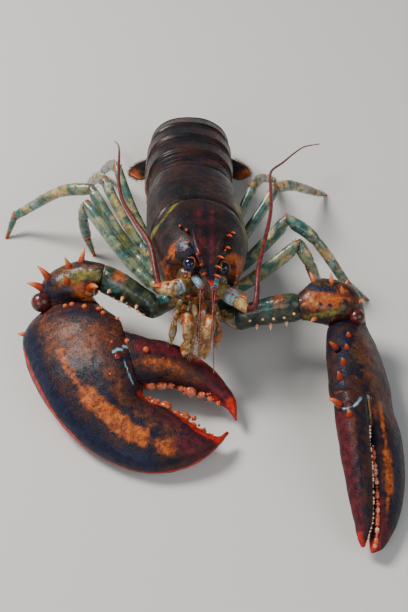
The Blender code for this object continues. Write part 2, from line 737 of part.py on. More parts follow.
def limb_rings(path, stations, up, start=None, end=None, sides=10, power=2.2):
    """Rings of a limb: stations are place 0..1, half width, height above, height below."""
    lengths = [0.0]
    for a, b in zip(path, path[1:]):
        lengths.append(lengths[-1] + (b - a).length)
    rings = []
    for place, half_width, above, below in stations:
        distance = place * lengths[-1]
        index = next(i for i in range(1, len(path)) if distance <= lengths[i] + 1e-6)
        t = (distance - lengths[index - 1]) / (lengths[index] - lengths[index - 1])
        centre = path[index - 1].lerp(path[index], t)
        tangent = (path[min(index + 1, len(path) - 1)] - path[max(index - 2, 0)]).normalized()
        normal = tangent
        if place == 0.0 and start is not None:
            normal = start.normalized()
            centre = centre + normal * (GAP / 2)
        if place == 1.0 and end is not None:
            normal = end.normalized()
            centre = centre - normal * (GAP / 2)
        across = normal.cross(up).normalized()
        rings.append(ring(centre, across, across.cross(normal), half_width, above, below, sides, power))
    return rings


def bisector(before, at, after):
    """The direction halfway between the way into a joint and the way out."""
    return ((at - before).normalized() + (after - at).normalized()).normalized()


def build_leg(builder, number, side):
    """A walking leg in three nodes: upper leg, shin and last joint."""
    knee, wrist, finger, tip = LEGS[side][number]
    hip, outward = thorax_hip(HIPS[number + 1], side)
    up = Vector((0, 0, 1))
    size = (1.0, 1.0, 0.92, 0.86)[number]
    path = bend_route(hip + outward * (GAP / 2), hip + outward * HIP_REACH, knee, 12)
    knee_normal = bisector(path[-2], knee, wrist)
    upper = ((0.0, 4.4, 4.6, 4.6), (0.12, 4.0, 4.2, 4.2), (0.3, 3.2, 4.0, 4.0), (0.6, 3.1, 4.4, 4.2),
             (0.9, 3.2, 4.3, 4.1), (1.0, 3.0, 3.6, 3.6))
    upper = [(place, w * size, a * size, b * size) for place, w, a, b in upper]
    name = f"leg_{number + 2}_{side}"
    builder.node(f"{name}_upper", loft(limb_rings(path, upper, up, outward, knee_normal, 8)),
                 "limb_teal", hip)
    finger_normal = bisector(wrist, finger, tip)
    path = smooth_route((knee, wrist, finger), 14)
    shin = ((0.0, 3.0, 3.6, 3.6), (0.18, 3.3, 4.0, 3.8), (0.4, 2.8, 3.2, 3.2), (0.7, 2.8, 3.2, 3.2),
            (1.0, 2.2, 2.5, 2.5))
    shin = [(place, w * size, a * size, b * size) for place, w, a, b in shin]
    builder.node(f"{name}_shin", loft(limb_rings(path, shin, up, knee_normal, finger_normal, 8)),
                 "limb_teal", knee)
    end = tip + (tip - finger).normalized() * FOOT_SINK
    path = [finger, finger.lerp(end, 0.5), end]
    foot = ((0.0, 2.1, 2.4, 2.4), (0.45, 1.7, 1.9, 1.9), (0.85, 1.1, 1.3, 1.3), (1.0, 0.9, 1.0, 1.0))
    mesh = loft(limb_rings(path, foot, Vector((0, 1, 0.2)), finger_normal, None, 8))
    builder.node(f"{name}_foot", cut_floor(mesh), "limb_teal", finger)


def claw_frame(stations, index):
    """Middle, across and up of a claw's station, and its half width."""
    middles = [(Vector(a) + Vector(b)) / 2 for a, b, _, _ in stations]
    outer, inner = Vector(stations[index][0]), Vector(stations[index][1])
    along = middles[min(index + 1, len(middles) - 1)] - middles[max(index - 1, 0)]
    across = (inner - outer).normalized()
    up = across.cross(along).normalized()
    if up.z < 0:
        up = -up
    return middles[index], across, up, (inner - outer).length / 2


def claw_rings(stations, sides, power=2.3):
    """Rings of a claw: outer edge point, inner edge point, half thickness above and below."""
    rings = []
    for index, (_, _, above, below) in enumerate(stations):
        middle, across, up, half_width = claw_frame(stations, index)
        rings.append(ring(middle, across, up, half_width, above, below, sides, power))
    return rings


def hinge_frame(hinge, toward):
    """Middle, half length, along, up and outward direction of the plane between palm and finger."""
    start, end = Vector(hinge[0]), Vector(hinge[1])
    along = (end - start).normalized()
    up = along.cross(toward).normalized()
    if up.z < 0:
        up = -up
    out = up.cross(along).normalized()
    if out.dot(toward) < 0:
        out = -out
    return (start + end) / 2, (end - start).length / 2, along, up, out


def finger_rings(stations, hinge, toward, sides):
    """Rings of a free finger, the first one parallel to the hinge plane."""
    middle, half_length, along, up, out = hinge_frame(hinge, toward)
    above, below = stations[0][2], stations[0][3]
    first = ring(middle + out * GAP, along, up, half_length * 0.97, above, below, sides, 2.3)
    return [first, *claw_rings(stations, sides)[1:]]


def hinge_cutter(builder, name, hinge, toward, clear, depth=40.0, beyond=12.0):
    """A block whose one face is the hinge plane, reaching past the hinge's far end by the clearance."""
    middle, half_length, along, up, out = hinge_frame(hinge, toward)
    low = middle - along * (half_length + beyond)
    mesh = bmesh.new()
    bmesh.ops.create_cube(mesh, size=1.0)
    for vertex in mesh.verts:
        x, y, z = vertex.co + Vector((0.5, 0.5, 0.0))
        reach = x * (2 * half_length + beyond + clear)
        vertex.co = low + along * reach + out * (y * depth) + up * (z * depth * 2)
    mesh.normal_update()
    bmesh.ops.recalc_face_normals(mesh, faces=mesh.faces[:])
    block = new_object(f"{name}_cutter", mesh, builder.cutters, builder.materials["shell_claw"])
    block.parent = builder.root
    block.hide_render = True
    block.display_type = "WIRE"
    return block


def cut_with(item, block):
    """Take a block out of a node and bake the result."""
    cut = item.modifiers.new("hinge", "BOOLEAN")
    cut.operation = "DIFFERENCE"
    cut.object = block
    cut.solver = "EXACT"
    bake(item)
    keep_largest(item)


def cutter_teeth(stations, first, count, chance):
    """Small teeth of uneven size along the cutter claw's edge, from a place on it to its tip."""
    pieces = []
    edge = smooth_route([row[1] for row in stations], EDGE_POINTS)
    outer = smooth_route([row[0] for row in stations], EDGE_POINTS)
    for number in range(count):
        index = first + (EDGE_POINTS - 2 - first) * number // count
        point = edge[index]
        inward = (outer[index] - point).normalized()
        size = (1.3 - 0.5 * number / count) * chance.uniform(0.85, 1.15)
        pieces.append(cone(point + inward * 2.2, point - inward * size * 0.7, size))
    return pieces


def build_crusher(builder):
    """The heavy claw: palm, fixed finger parted from it by a thin cut, and free finger."""
    rings = claw_rings(CRUSHER_PALM, 16)
    _, across, up, _ = claw_frame(CRUSHER_PALM, FIXED_FINGER_ROW)
    parting = up.cross(across).normalized() * (GAP / 2)
    if parting.dot(rings[-1][0] - rings[0][0]) < 0:
        parting = -parting
    shared = rings[FIXED_FINGER_ROW]
    palm_rings = [*rings[:FIXED_FINGER_ROW], [point - parting for point in shared]]
    finger_part = [[point + parting for point in shared], *rings[FIXED_FINGER_ROW + 1:]]
    pieces = [cone(root, tip, radius) for tip, root, radius in CRUSHER_SPINES]
    palm = builder.node("crusher_palm", loft(palm_rings), "shell_claw", CRUSHER_PALM[0][0], pieces=pieces)
    builder.node("crusher_fixed_finger", cut_floor(loft(finger_part)), "shell_claw",
                 CRUSHER_PALM[FIXED_FINGER_ROW][0], pieces=[bead(*tooth) for tooth in CRUSHER_PALM_TEETH])
    cut_with(palm, hinge_cutter(builder, "crusher", CRUSHER_HINGE, CRUSHER_OPENS, 0.0))
    finish_shading(palm)
    pieces = [bead(*tooth) for tooth in CRUSHER_FINGER_TEETH] + [bead(*CRUSHER_KNOB)]
    finger = loft(finger_rings(CRUSHER_FINGER, CRUSHER_HINGE, CRUSHER_OPENS, 14))
    builder.node("crusher_finger", finger, "shell_claw", CRUSHER_HINGE[0], pieces=pieces)


def build_cutter(builder):
    """The slender claw, rolled onto its outer edge."""
    pieces = [cone(root, tip, radius) for tip, root, radius in CUTTER_SPINES]
    pieces += cutter_teeth(CUTTER_PALM, CUTTER_TEETH_FROM, CUTTER_TOOTH_COUNT, random.Random(SEED))
    palm = builder.node("cutter_palm", cut_floor(loft(claw_rings(CUTTER_PALM, 14))), "shell_claw",
                        CUTTER_PALM[0][0], pieces=pieces)
    cut_with(palm, hinge_cutter(builder, "cutter", CUTTER_HINGE, CUTTER_OPENS, 1.0, CUTTER_HINGE_DEPTH))
    finish_shading(palm)
    pieces = [cone(root, tip, radius) for tip, root, radius in CUTTER_FINGER_SPINES]
    finger = loft(finger_rings(CUTTER_FINGER, CUTTER_HINGE, CUTTER_OPENS, 12))
    builder.node("cutter_finger", finger, "shell_claw", CUTTER_HINGE[0], pieces=pieces)


def build_arm(builder, name, side, arm, spines):
    """Ischium and merus of a claw's arm."""
    elbow, shoulder, enter = arm
    enter = enter.normalized()
    hip, outward = thorax_hip(HIPS[0], side)
    up = Vector((0, 0, 1))
    path = bend_route(hip + outward * (GAP / 2), hip + outward * HIP_REACH * 0.6, elbow, 10)
    elbow_normal = bisector(path[-2], elbow, shoulder)
    stations = ((0.0, 5.4, 6.0, 6.0), (0.55, 5.4, 6.2, 6.2), (1.0, 5.4, 7.0, 7.0))
    builder.node(f"{name}_ischium", loft(limb_rings(path, stations, up, outward, elbow_normal, 10)),
                 "shell_belly", hip)
    path = smooth_route((elbow, elbow.lerp(shoulder, 0.5) + up * 1.0, shoulder), 10)
    stations = ((0.0, 5.4, 7.0, 7.0), (0.25, 6.0, 8.2, 7.6), (0.7, 7.0, 9.6, 8.6), (0.9, 6.9, 9.2, 8.4),
                (1.0, SHOULDER_HALF_WIDTH - 0.8, SHOULDER_HALF_HEIGHT, SHOULDER_HALF_HEIGHT))
    pieces = [cone(root, tip, radius) for tip, root, radius in spines]
    builder.node(f"{name}_merus", loft(limb_rings(path, stations, up, elbow_normal, enter, 12)),
                 "limb_teal", elbow, pieces=pieces)


def build_carpus(builder, name, arm, rows, palm, spines):
    """The chunky carpus, which turns from the arm into the claw."""
    _, shoulder, enter = arm
    enter = enter.normalized()
    up = (Vector((0, 0, 1)) - enter * enter.z).normalized()
    across = up.cross(enter)
    if across.y < 0:
        across = -across
    rings = [ring(shoulder + enter * (GAP / 2), across, up, SHOULDER_HALF_WIDTH,
                  SHOULDER_HALF_HEIGHT, SHOULDER_HALF_HEIGHT, CARPUS_SIDES, 2.3)]
    middle, across, up, half_width = claw_frame(palm, 0)
    back = across.cross(up)
    if back.y < 0:
        back = -back
    stations = [(shoulder - across, shoulder + across, 0, 0), *rows, (middle + across, middle - across, 0, 0)]
    for index, (_, _, above, below) in enumerate(rows):
        centre, outward, rise, half = claw_frame(stations, index + 1)
        rings.append(ring(centre, outward, rise, half, above, below, CARPUS_SIDES, 2.3))
    above, below = palm[0][2:]
    rings.append(ring(middle + back * GAP, -across, up, half_width, above, below, CARPUS_SIDES, 2.3))
    pieces = [cone(root, tip, radius) for tip, root, radius in spines]
    builder.node(f"{name}_carpus", loft(rings), "shell_claw", shoulder, pieces=pieces)


def build_face(builder):
    """The face plate with the ridge between the eyes."""
    rows = ((-FACE_BACK - GAP, 1.0), (-FACE_FRONT + 2, 0.95), (-FACE_FRONT, 0.8))
    middle = (FACE_TOP + FACE_BOTTOM) / 2
    half = (FACE_TOP - FACE_BOTTOM) / 2
    rings = [ring(Vector((0, y, middle)), Vector((1, 0, 0)), Vector((0, 0, 1)), FACE_HALF_WIDTH * k,
                  half * k, half * k, 12, 3.0) for y, k in rows]
    ridge = []
    tall = (RIDGE_TOP - middle) / 2
    for y, k in ((-FACE_BACK - GAP, 1.0), (-FACE_FRONT, 1.0), (-RIDGE_FRONT, 0.8)):
        ridge.append(ring(Vector((0, y, (RIDGE_TOP + middle) / 2)), Vector((1, 0, 0)), Vector((0, 0, 1)),
                          RIDGE_HALF_WIDTH * k, tall * k, tall, 8, 4.0))
    builder.node("face", loft(rings), "shell_belly", in_body=True, pieces=[loft(ridge)])


def build_eyes(builder):
    """Eyes on short stalks from the ridge, under the rostrum."""
    for side in ("left", "right"):
        centre = mirrored(EYE_CENTRE, side)
        root = mirrored((RIDGE_HALF_WIDTH + GAP, *EYE_ROOT), side)
        stalk = loft([ring(root.lerp(centre, t), Vector((0, 1, 0)), Vector((0, 0, 1)), r, r, r, 10, 2.0)
                      for t, r in ((0.0, 2.2), (0.4, 2.6), (0.8, EYE_STALK_RADIUS))])
        ball = bmesh.new()
        bmesh.ops.create_uvsphere(ball, u_segments=14, v_segments=9, radius=EYE_RADIUS,
                                  matrix=Matrix.Translation(centre))
        builder.node(f"eye_{side}", stalk, "eye_black", centre, in_body=True, pieces=[ball])


def build_feelers(builder):
    """Antennae with their stout bases, and the antennules."""
    for side in ("left", "right"):
        root, middle, end = ANTENNA_ROOTS[side]
        route = smooth_route(ANTENNA_ROUTES[side], ANTENNA_POINTS)
        face_normal = body_direction((0, -1, 0))
        anchor = from_body(mirrored((9.0, -FACE_FRONT - GAP / 2, -22.0), side))
        path = smooth_route((anchor, middle, end), 12)
        end_normal = bisector(path[-2], end, route[1])
        stations = ((0.0, 3.6, 3.8, 3.8), (0.35, 4.2, 4.2, 4.2), (0.6, 3.9, 3.9, 3.9), (0.9, 3.0, 3.0, 3.0),
                    (1.0, 2.6, 2.6, 2.6))
        builder.node(f"antenna_base_{side}",
                     loft(limb_rings(path, stations, Vector((0, 0, 1)), face_normal, end_normal, 10)),
                     "shell_belly", anchor)
        count = len(route)
        rings = []
        for index, point in enumerate(route):
            tangent = (route[min(index + 1, count - 1)] - route[max(index - 1, 0)]).normalized()
            if index == 0:
                tangent = end_normal
                point = point + tangent * (GAP / 2)
            radius = ANTENNA_RADIUS * (1 - 0.82 * (index / (count - 1)) ** 0.8)
            across = tangent.cross(Vector((0, 0, 1))).normalized()
            rings.append(ring(point, across, across.cross(tangent), radius, radius, radius, 6, 2.0))
        builder.node(f"antenna_{side}", loft(rings), "feeler_red", route[0])
        build_antennule(builder, side)


def build_antennule(builder, side):
    """A small feeler base from the ridge's front with two thin whips."""
    base = mirrored((RIDGE_HALF_WIDTH + 2.8, -FACE_FRONT - GAP / 2, -16.5), side)
    end = mirrored((3.6, -114.0, -13.5), side)
    base, end = from_body(base), from_body(end)
    normal = body_direction((0, -1, 0))
    up = Vector((0, 0, 1))
    stations = ((0.0, 2.0, 2.0, 2.0), (0.5, 2.1, 2.1, 2.1), (1.0, 1.8, 1.8, 1.8))
    stalk = loft(limb_rings([base, base.lerp(end, 0.5), end], stations, up, normal, None, 8))
    across = body_direction((1, 0, 0))
    whips = []
    for offset, tip in zip((-0.85, 0.85), ANTENNULE_TIPS[side]):
        start = end + across * offset - (end - base).normalized() * 1.5
        rings = []
        for place in (0.0, 0.2, 0.4, 0.6, 0.8, 1.0):
            point = start.lerp(tip, place) + up * (2.0 * math.sin(math.pi * place))
            radius = ANTENNULE_RADIUS * (1 - 0.6 * place)
            heading = (tip - start).normalized()
            side_way = heading.cross(up).normalized()
            rings.append(ring(point, side_way, side_way.cross(heading), radius, radius, radius, 6, 2.0))
        whips.append(loft(rings))
    builder.node(f"antennule_{side}", stalk, "feeler_red", base, pieces=whips)


def build_maxillipeds(builder):
    """The outer mouth legs, folded forward and down in front of the mouth."""
    for side in ("left", "right"):
        root = mirrored((6.0, -THORAX[-1][0] - GAP / 2, -47.0), side)
        points = [root, mirrored((6.4, -103.0, -44.0), side), mirrored((6.0, -114.0, -38.0), side),
                  mirrored((4.2, -121.0, -46.0), side), mirrored((3.2, -124.0, -56.0), side)]
        points = [from_body(point) for point in points]
        path = smooth_route(points, 16)
        stations = ((0.0, 3.4, 4.4, 4.4), (0.25, 3.8, 4.6, 4.6), (0.5, 3.4, 3.8, 3.8), (0.7, 3.0, 3.2, 3.2),
                    (0.9, 2.0, 2.2, 2.2), (1.0, 0.8, 0.9, 0.9))
        up, forward = body_direction((0, 0, 1)), body_direction((0, -1, 0))
        mesh = loft(limb_rings(path, stations, up, forward, None, 10))
        builder.node(f"maxilliped_{side}", mesh, "shell_belly", points[0])


def main():
    """Build the whole lobster."""
    clear_scene()
    builder = Builder()
    build_carapace(builder)
    build_thorax(builder)
    build_face(builder)
    build_eyes(builder)
    build_feelers(builder)
    build_maxillipeds(builder)
    build_abdomen(builder)
    build_tail_fan(builder)
    for side in ("left", "right"):
        for number in range(4):
            build_leg(builder, number, side)
    build_crusher(builder)
    build_cutter(builder)
    build_arm(builder, "crusher", "right", CRUSHER_ARM, CRUSHER_ARM_SPINES)
    build_arm(builder, "cutter", "left", CUTTER_ARM, CUTTER_ARM_SPINES)
    build_carpus(builder, "crusher", CRUSHER_ARM, CRUSHER_CARPUS, CRUSHER_PALM, CRUSHER_CARPUS_SPINES)
    build_carpus(builder, "cutter", CUTTER_ARM, CUTTER_CARPUS, CUTTER_PALM, CUTTER_CARPUS_SPINES)


if __name__ == "__main__":
    main()
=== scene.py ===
"""Looks of a still, life-size american lobster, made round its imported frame.

Shapes are worked out in millimetres in the model frame: the head points to -Y, the
animal's left is +X and up is +Z. They are shifted and scaled to the frame's metres when
a mesh is written. What sits on the carapace is worked out in the body frame, whose origin
is the top of the carapace's rear edge.
"""

import logging
import math
from collections.abc import Callable, Sequence
from dataclasses import dataclass, field
from enum import Enum

import bmesh
import bpy
import numpy as np
from mathutils import Euler, Matrix, Vector

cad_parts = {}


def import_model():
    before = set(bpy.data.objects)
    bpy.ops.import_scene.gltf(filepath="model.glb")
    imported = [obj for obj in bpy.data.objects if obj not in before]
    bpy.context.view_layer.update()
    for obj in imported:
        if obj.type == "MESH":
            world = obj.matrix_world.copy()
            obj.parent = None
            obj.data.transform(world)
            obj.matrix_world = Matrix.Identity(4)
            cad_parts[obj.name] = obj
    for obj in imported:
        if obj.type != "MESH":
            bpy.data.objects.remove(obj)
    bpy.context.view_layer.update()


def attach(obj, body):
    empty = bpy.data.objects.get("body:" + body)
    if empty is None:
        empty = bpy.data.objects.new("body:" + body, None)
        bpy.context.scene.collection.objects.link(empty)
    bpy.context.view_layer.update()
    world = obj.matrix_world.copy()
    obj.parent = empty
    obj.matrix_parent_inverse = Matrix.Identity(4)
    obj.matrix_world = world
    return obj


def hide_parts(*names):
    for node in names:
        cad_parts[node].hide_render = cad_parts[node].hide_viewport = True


log = logging.getLogger("lobster")

Array = np.ndarray
Point = tuple[float, float, float]
Colour = tuple[float, float, float]
Mask = Callable[[Array], Array]
Chance = np.random.Generator
Socket = bpy.types.NodeSocket

# Metres in a millimetre.
MM = 0.001
# Between nodes that meet, in millimetres.
GAP = 0.3
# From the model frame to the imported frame, in millimetres.
MODEL_SHIFT = np.array((10.8, -13.4, 0.0))
# The body frame's origin in the model frame, and its pitch, roll and yaw in degrees.
BODY_POINT = np.array((-4.0, 92.0, 61.0))
BODY_TURN = (-11.0, 12.0, 4.3)
# The abdomen's turn about the vertical, in degrees.
ABDOMEN_YAW = 4.0
UP = np.array((0.0, 0.0, 1.0))
SIDES = {"left": 1.0, "right": -1.0}


def body_matrix() -> Array:
    """The turn of the body frame in the model frame, as a 3 by 3 array."""
    pitch, roll, yaw = (math.radians(angle) for angle in BODY_TURN)
    return np.array(Euler((pitch, roll, yaw), "YXZ").to_matrix())


BODY_MATRIX = body_matrix()


def from_body(points: Sequence | Array) -> Array:
    """Points of the body frame, in the model frame."""
    return np.asarray(points, float) @ BODY_MATRIX.T + BODY_POINT


def to_body(points: Array) -> Array:
    """Points of the model frame, in the body frame."""
    return (points - BODY_POINT) @ BODY_MATRIX


def body_direction(direction: Sequence[float]) -> Array:
    """A direction of the body frame, in the model frame."""
    return np.asarray(direction, float) @ BODY_MATRIX.T


def mirrored(point: Sequence[float], side: str) -> Array:
    """A point given on the animal's left, on the side that is asked for."""
    return np.array((point[0] * SIDES[side], point[1], point[2]), float)


def unit(vectors: Array) -> Array:
    """Vectors scaled to length one."""
    return vectors / np.maximum(np.linalg.norm(vectors, axis=-1, keepdims=True), 1e-9)


def smooth(values: Array, low: float, high: float) -> Array:
    """A soft step from 0 at low to 1 at high."""
    t = np.clip((values - low) / (high - low), 0.0, 1.0)
    return t * t * (3 - 2 * t)


def spline(rows: Sequence | Array, count: int) -> Array:
    """Rows of numbers read along a Catmull-Rom curve through the given rows.

    Args:
        rows: what the curve goes through.
        count: how many even steps to read.

    Returns:
        The rows read.
    """
    rows = np.asarray(rows, float)
    ends = np.vstack((2 * rows[0] - rows[1], rows, 2 * rows[-1] - rows[-2]))
    place = np.linspace(0.0, len(rows) - 1.0, count)
    span = np.minimum(place.astype(int), len(rows) - 2)
    t = (place - span)[:, None]
    a, b, c, d = ends[span], ends[span + 1], ends[span + 2], ends[span + 3]
    return 0.5 * (2 * b + (c - a) * t + (2 * a - 5 * b + 4 * c - d) * t ** 2 + (3 * b - a - 3 * c + d) * t ** 3)


def table(rows: Sequence[Sequence[float]], places: Array) -> Array:
    """Smooth values of a table whose rows start with their place.

    Args:
        rows: the table, its places rising.
        places: where to read it.

    Returns:
        One row of values for each place.
    """
    known = np.asarray(rows, float)
    fine = spline(known, 40 * len(known))
    return np.stack([np.interp(places, fine[:, 0], column) for column in fine[:, 1:].T], axis=1)


def lattice(cells: Array, seed: int) -> Array:
    """A repeatable random number from 0 to 1 for each cell of a lattice."""
    key = cells[..., 0] * 73856093 ^ cells[..., 1] * 19349663 ^ cells[..., 2] * 83492791 ^ seed * 2654435761
    key = (key ^ (key >> 13)) * 1274126177
    return ((key ^ (key >> 16)) & 0xFFFF) / 65535.0


def noise(points: Array, size: float, seed: int, octaves: int = 2) -> Array:
    """Smooth noise from about -1 to 1 at points.

    Args:
        points: where to read it, in millimetres.
        size: the width of its largest bumps, in millimetres.
        seed: picks the pattern.
        octaves: how many finer layers are added up.

    Returns:
        One value for each point.
    """
    total = np.zeros(len(points))
    weight = 1.0
    for octave in range(octaves):
        place = points / (size / 2 ** octave)
        cell = np.floor(place).astype(np.int64)
        t = place - cell
        t = t * t * (3 - 2 * t)
        value = np.zeros(len(points))
        for corner in np.ndindex(2, 2, 2):
            share = np.prod(np.where(corner, t, 1 - t), axis=1)
            value += share * lattice(cell + np.array(corner), seed + octave)
        total += weight * (2 * value - 1)
        weight *= 0.5
    return total


def near(centre: Sequence[float], radius: float, soft: float = 0.5) -> Mask:
    """A mask that is 1 within a radius of a point and fades outside it."""
    middle = np.asarray(centre, float)
    start, end = radius * (1 - soft), radius * (1 + soft)
    return lambda points: 1 - smooth(np.linalg.norm(points - middle, axis=1), start, end)


def along_path(path: Sequence | Array, width: float, soft: float = 0.5) -> Mask:
    """A mask that is 1 within a width of a line through points and fades outside it.

    Args:
        path: the points of the line.
        width: how far from the line the mask reaches.
        soft: how softly it ends, from 0 to 1.

    Returns:
        The mask.
    """
    line = np.asarray(path, float)

    def read(points: Array) -> Array:
        """How near each point is to the line.

        Args:
            points: points in the model frame.

        Returns:
            The mask's value at each.
        """
        nearest = np.full(len(points), np.inf)
        for a, b in zip(line, line[1:]):
            step = b - a
            t = np.clip((points - a) @ step / max(step @ step, 1e-9), 0, 1)
            nearest = np.minimum(nearest, np.linalg.norm(points - a - t[:, None] * step, axis=1))
        return 1 - smooth(nearest, width * (1 - soft), width * (1 + soft))
    return read


def beyond(origin: Sequence[float], direction: Sequence[float], start: float, end: float) -> Mask:
    """A mask that rises from 0 to 1 along a direction, between two distances from an origin."""
    base = np.asarray(origin, float)
    way = unit(np.asarray(direction, float))
    return lambda points: smooth((points - base) @ way, start, end)


def either(*masks: Mask) -> Mask:
    """The strongest of several masks at each point."""
    return lambda points: np.max([mask(points) for mask in masks], axis=0)


def both(*masks: Mask) -> Mask:
    """The product of several masks at each point."""
    return lambda points: np.prod([mask(points) for mask in masks], axis=0)


def times(mask: Mask, factor: float) -> Mask:
    """A mask made weaker or stronger."""
    return lambda points: mask(points) * factor


def place_object(name: str, data: bpy.types.ID) -> bpy.types.Object:
    """A new object in the scene."""
    item = bpy.data.objects.new(name, data)
    bpy.context.scene.collection.objects.link(item)
    return item


@dataclass(frozen=True)
class View:
    """The photograph's view, in which positions of markings were measured.

    Attributes:
        elevation: the camera's height above the floor, in degrees.
        distance: from the camera to its target, in millimetres.
        target_height: of the target above the floor, in millimetres.
        focal: the focal length, in pixels.
        width: of the picture, in pixels.
        height: of the picture, in pixels.
    """

    elevation: float = 47.0
    distance: float = 690.0
    target_height: float = 30.0
    focal: float = 1190.0
    width: float = 408.0
    height: float = 612.0

    def back(self) -> Array:
        """The direction from the target to the camera."""
        tilt = math.radians(self.elevation)
        return np.array((0.0, -math.cos(tilt), math.sin(tilt)))

    def read(self, points: Array) -> tuple[Array, Array]:
        """Where points appear in the picture.

        Args:
            points: points in the model frame.

        Returns:
            Their places in pixels, and how far they are from the camera.
        """
        tilt = math.radians(self.elevation)
        lift = np.array((0.0, math.sin(tilt), math.cos(tilt)))
        offset = points - (self.back() * self.distance + UP * self.target_height)
        depth = -offset @ self.back()
        return np.stack((self.width / 2 + self.focal * offset[:, 0] / depth,
                         self.height / 2 - self.focal * (offset @ lift) / depth), axis=1), depth


VIEW = View()


def stroke(strength: float, width: float, *path: Sequence[float], soft: float = 0.9) -> Mask:
    """A mask along a stroke of the brush.

    Args:
        strength: its value on the stroke.
        width: half the stroke's width, in pixels of the photograph.
        path: where the photograph shows the stroke, in pixels.
        soft: how softly it ends, from 0 to 1.

    Returns:
        The mask.
    """
    flat = along_path([(*point, 0.0) for point in path], width, soft)
    return lambda points: flat(np.column_stack((VIEW.read(points)[0], np.zeros(len(points))))) * strength


def patches(size: float, seed: int, low: float, high: float, strength: float = 1.0) -> Mask:
    """A mask of scattered patches.

    Args:
        size: the patches' width, in millimetres.
        seed: picks the pattern.
        low: the noise at which the mask starts.
        high: the noise at which it is full.
        strength: its value where it is full.

    Returns:
        The mask.
    """
    return lambda points: strength * smooth(noise(points, size, seed), low, high)


def bumps(*layers: tuple[float, float, int]) -> Mask:
    """Heights summed from layers of noise, each a height and a width in millimetres and a seed."""
    return lambda points: sum(height * noise(points, size, seed) for height, size, seed in layers)


@dataclass
class Surface:
    """A closed surface in the making, in millimetres in the model frame.

    Attributes:
        points: x, y and z of each corner.
        faces: the corners of each face.
        tip: 0 on shell, rising to 1 at the tip of a spine or tooth, for each corner.
        places: for hairs, the place of each root on the unrolled skin, along it and round it, from 0 to 1.
    """

    points: Array
    faces: list[tuple[int, ...]]
    tip: Array
    places: Array | None = None

    @classmethod
    def join(cls, surfaces: Sequence["Surface"]) -> "Surface":
        """Several surfaces as one.

        Args:
            surfaces: the surfaces, in order.

        Returns:
            The joined surface.
        """
        faces: list[tuple[int, ...]] = []
        start = 0
        for item in surfaces:
            faces += [tuple(corner + start for corner in face) for face in item.faces]
            start += len(item.points)
        tip = np.concatenate([item.tip for item in surfaces])
        return cls(np.vstack([item.points for item in surfaces]), faces, tip)

    def normals(self) -> Array:
        """The outward direction at each corner."""
        total = np.zeros_like(self.points)
        by_count: dict[int, list[tuple[int, ...]]] = {}
        for face in self.faces:
            by_count.setdefault(len(face), []).append(face)
        for group in by_count.values():
            index = np.array(group)
            a, b, c = self.points[index[:, 0]], self.points[index[:, 1]], self.points[index[:, 2]]
            direction = np.cross(b - a, c - a)
            for column in index.T:
                np.add.at(total, column, direction)
        return unit(total)

    def spot(self, pixel: Sequence[float]) -> tuple[Array, Array]:
        """The corner that the photograph would show at a pixel.

        Args:
            pixel: across and down.

        Returns:
            The corner, and the way out of the surface there.
        """
        places, depth = VIEW.read(self.points)
        offset = np.linalg.norm(places - np.asarray(pixel, float), axis=1)
        close = np.flatnonzero(offset < offset.min() + 1.3)
        best = close[np.argmin(depth[close] + 0.3 * offset[close])]
        way = self.normals()[best]
        return self.points[best], way if way @ VIEW.back() > 0 else -way

    def beads(self, marks: Sequence[Sequence[float]], tip: float = 0.75) -> list["Surface"]:
        """Rounded bumps where the photograph shows them.

        Args:
            marks: for each its pixel across and down, radius and height.
            tip: the tip value on top.

        Returns:
            The bumps.
        """
        made = []
        for across, down, radius, height in marks:
            point, way = self.spot((across, down))
            middle = point + way * (height - radius) * 0.5
            made.append(knob(middle, ((radius + height) / 2, radius), way, tip, 9, 14))
        return made

    def raised(self, height: Callable[[Array], Array]) -> "Surface":
        """The surface with each corner moved outward by a height that depends on its place."""
        return Surface(self.points + self.normals() * height(self.points)[:, None], self.faces, self.tip)


def grid_surface(grid: Array, tip: Array | None = None) -> Surface:
    """A closed surface from rings of points, with flat fans at both ends.

    Args:
        grid: rows of rings, each a row of points.
        tip: a value for each ring, for spines and teeth.

    Returns:
        The surface.
    """
    rows, columns, _ = grid.shape
    index = np.arange(rows * columns).reshape(rows, columns)
    ahead = np.roll(index, -1, axis=1)
    faces = np.stack((index[:-1], ahead[:-1], ahead[1:], index[1:]), axis=-1).reshape(-1, 4)
    points = np.vstack((grid.reshape(-1, 3), grid[0].mean(axis=0), grid[-1].mean(axis=0)))
    first, last = rows * columns, rows * columns + 1
    listed = [tuple(face) for face in faces.tolist()]
    listed += [(b, a, first) for a, b in zip(index[0].tolist(), ahead[0].tolist())]
    listed += [(a, b, last) for a, b in zip(index[-1].tolist(), ahead[-1].tolist())]
    values = np.zeros(len(points))
    if tip is not None:
        values[:rows * columns] = np.repeat(tip, columns)
        values[first], values[last] = tip[0], tip[-1]
    return Surface(points, listed, values)


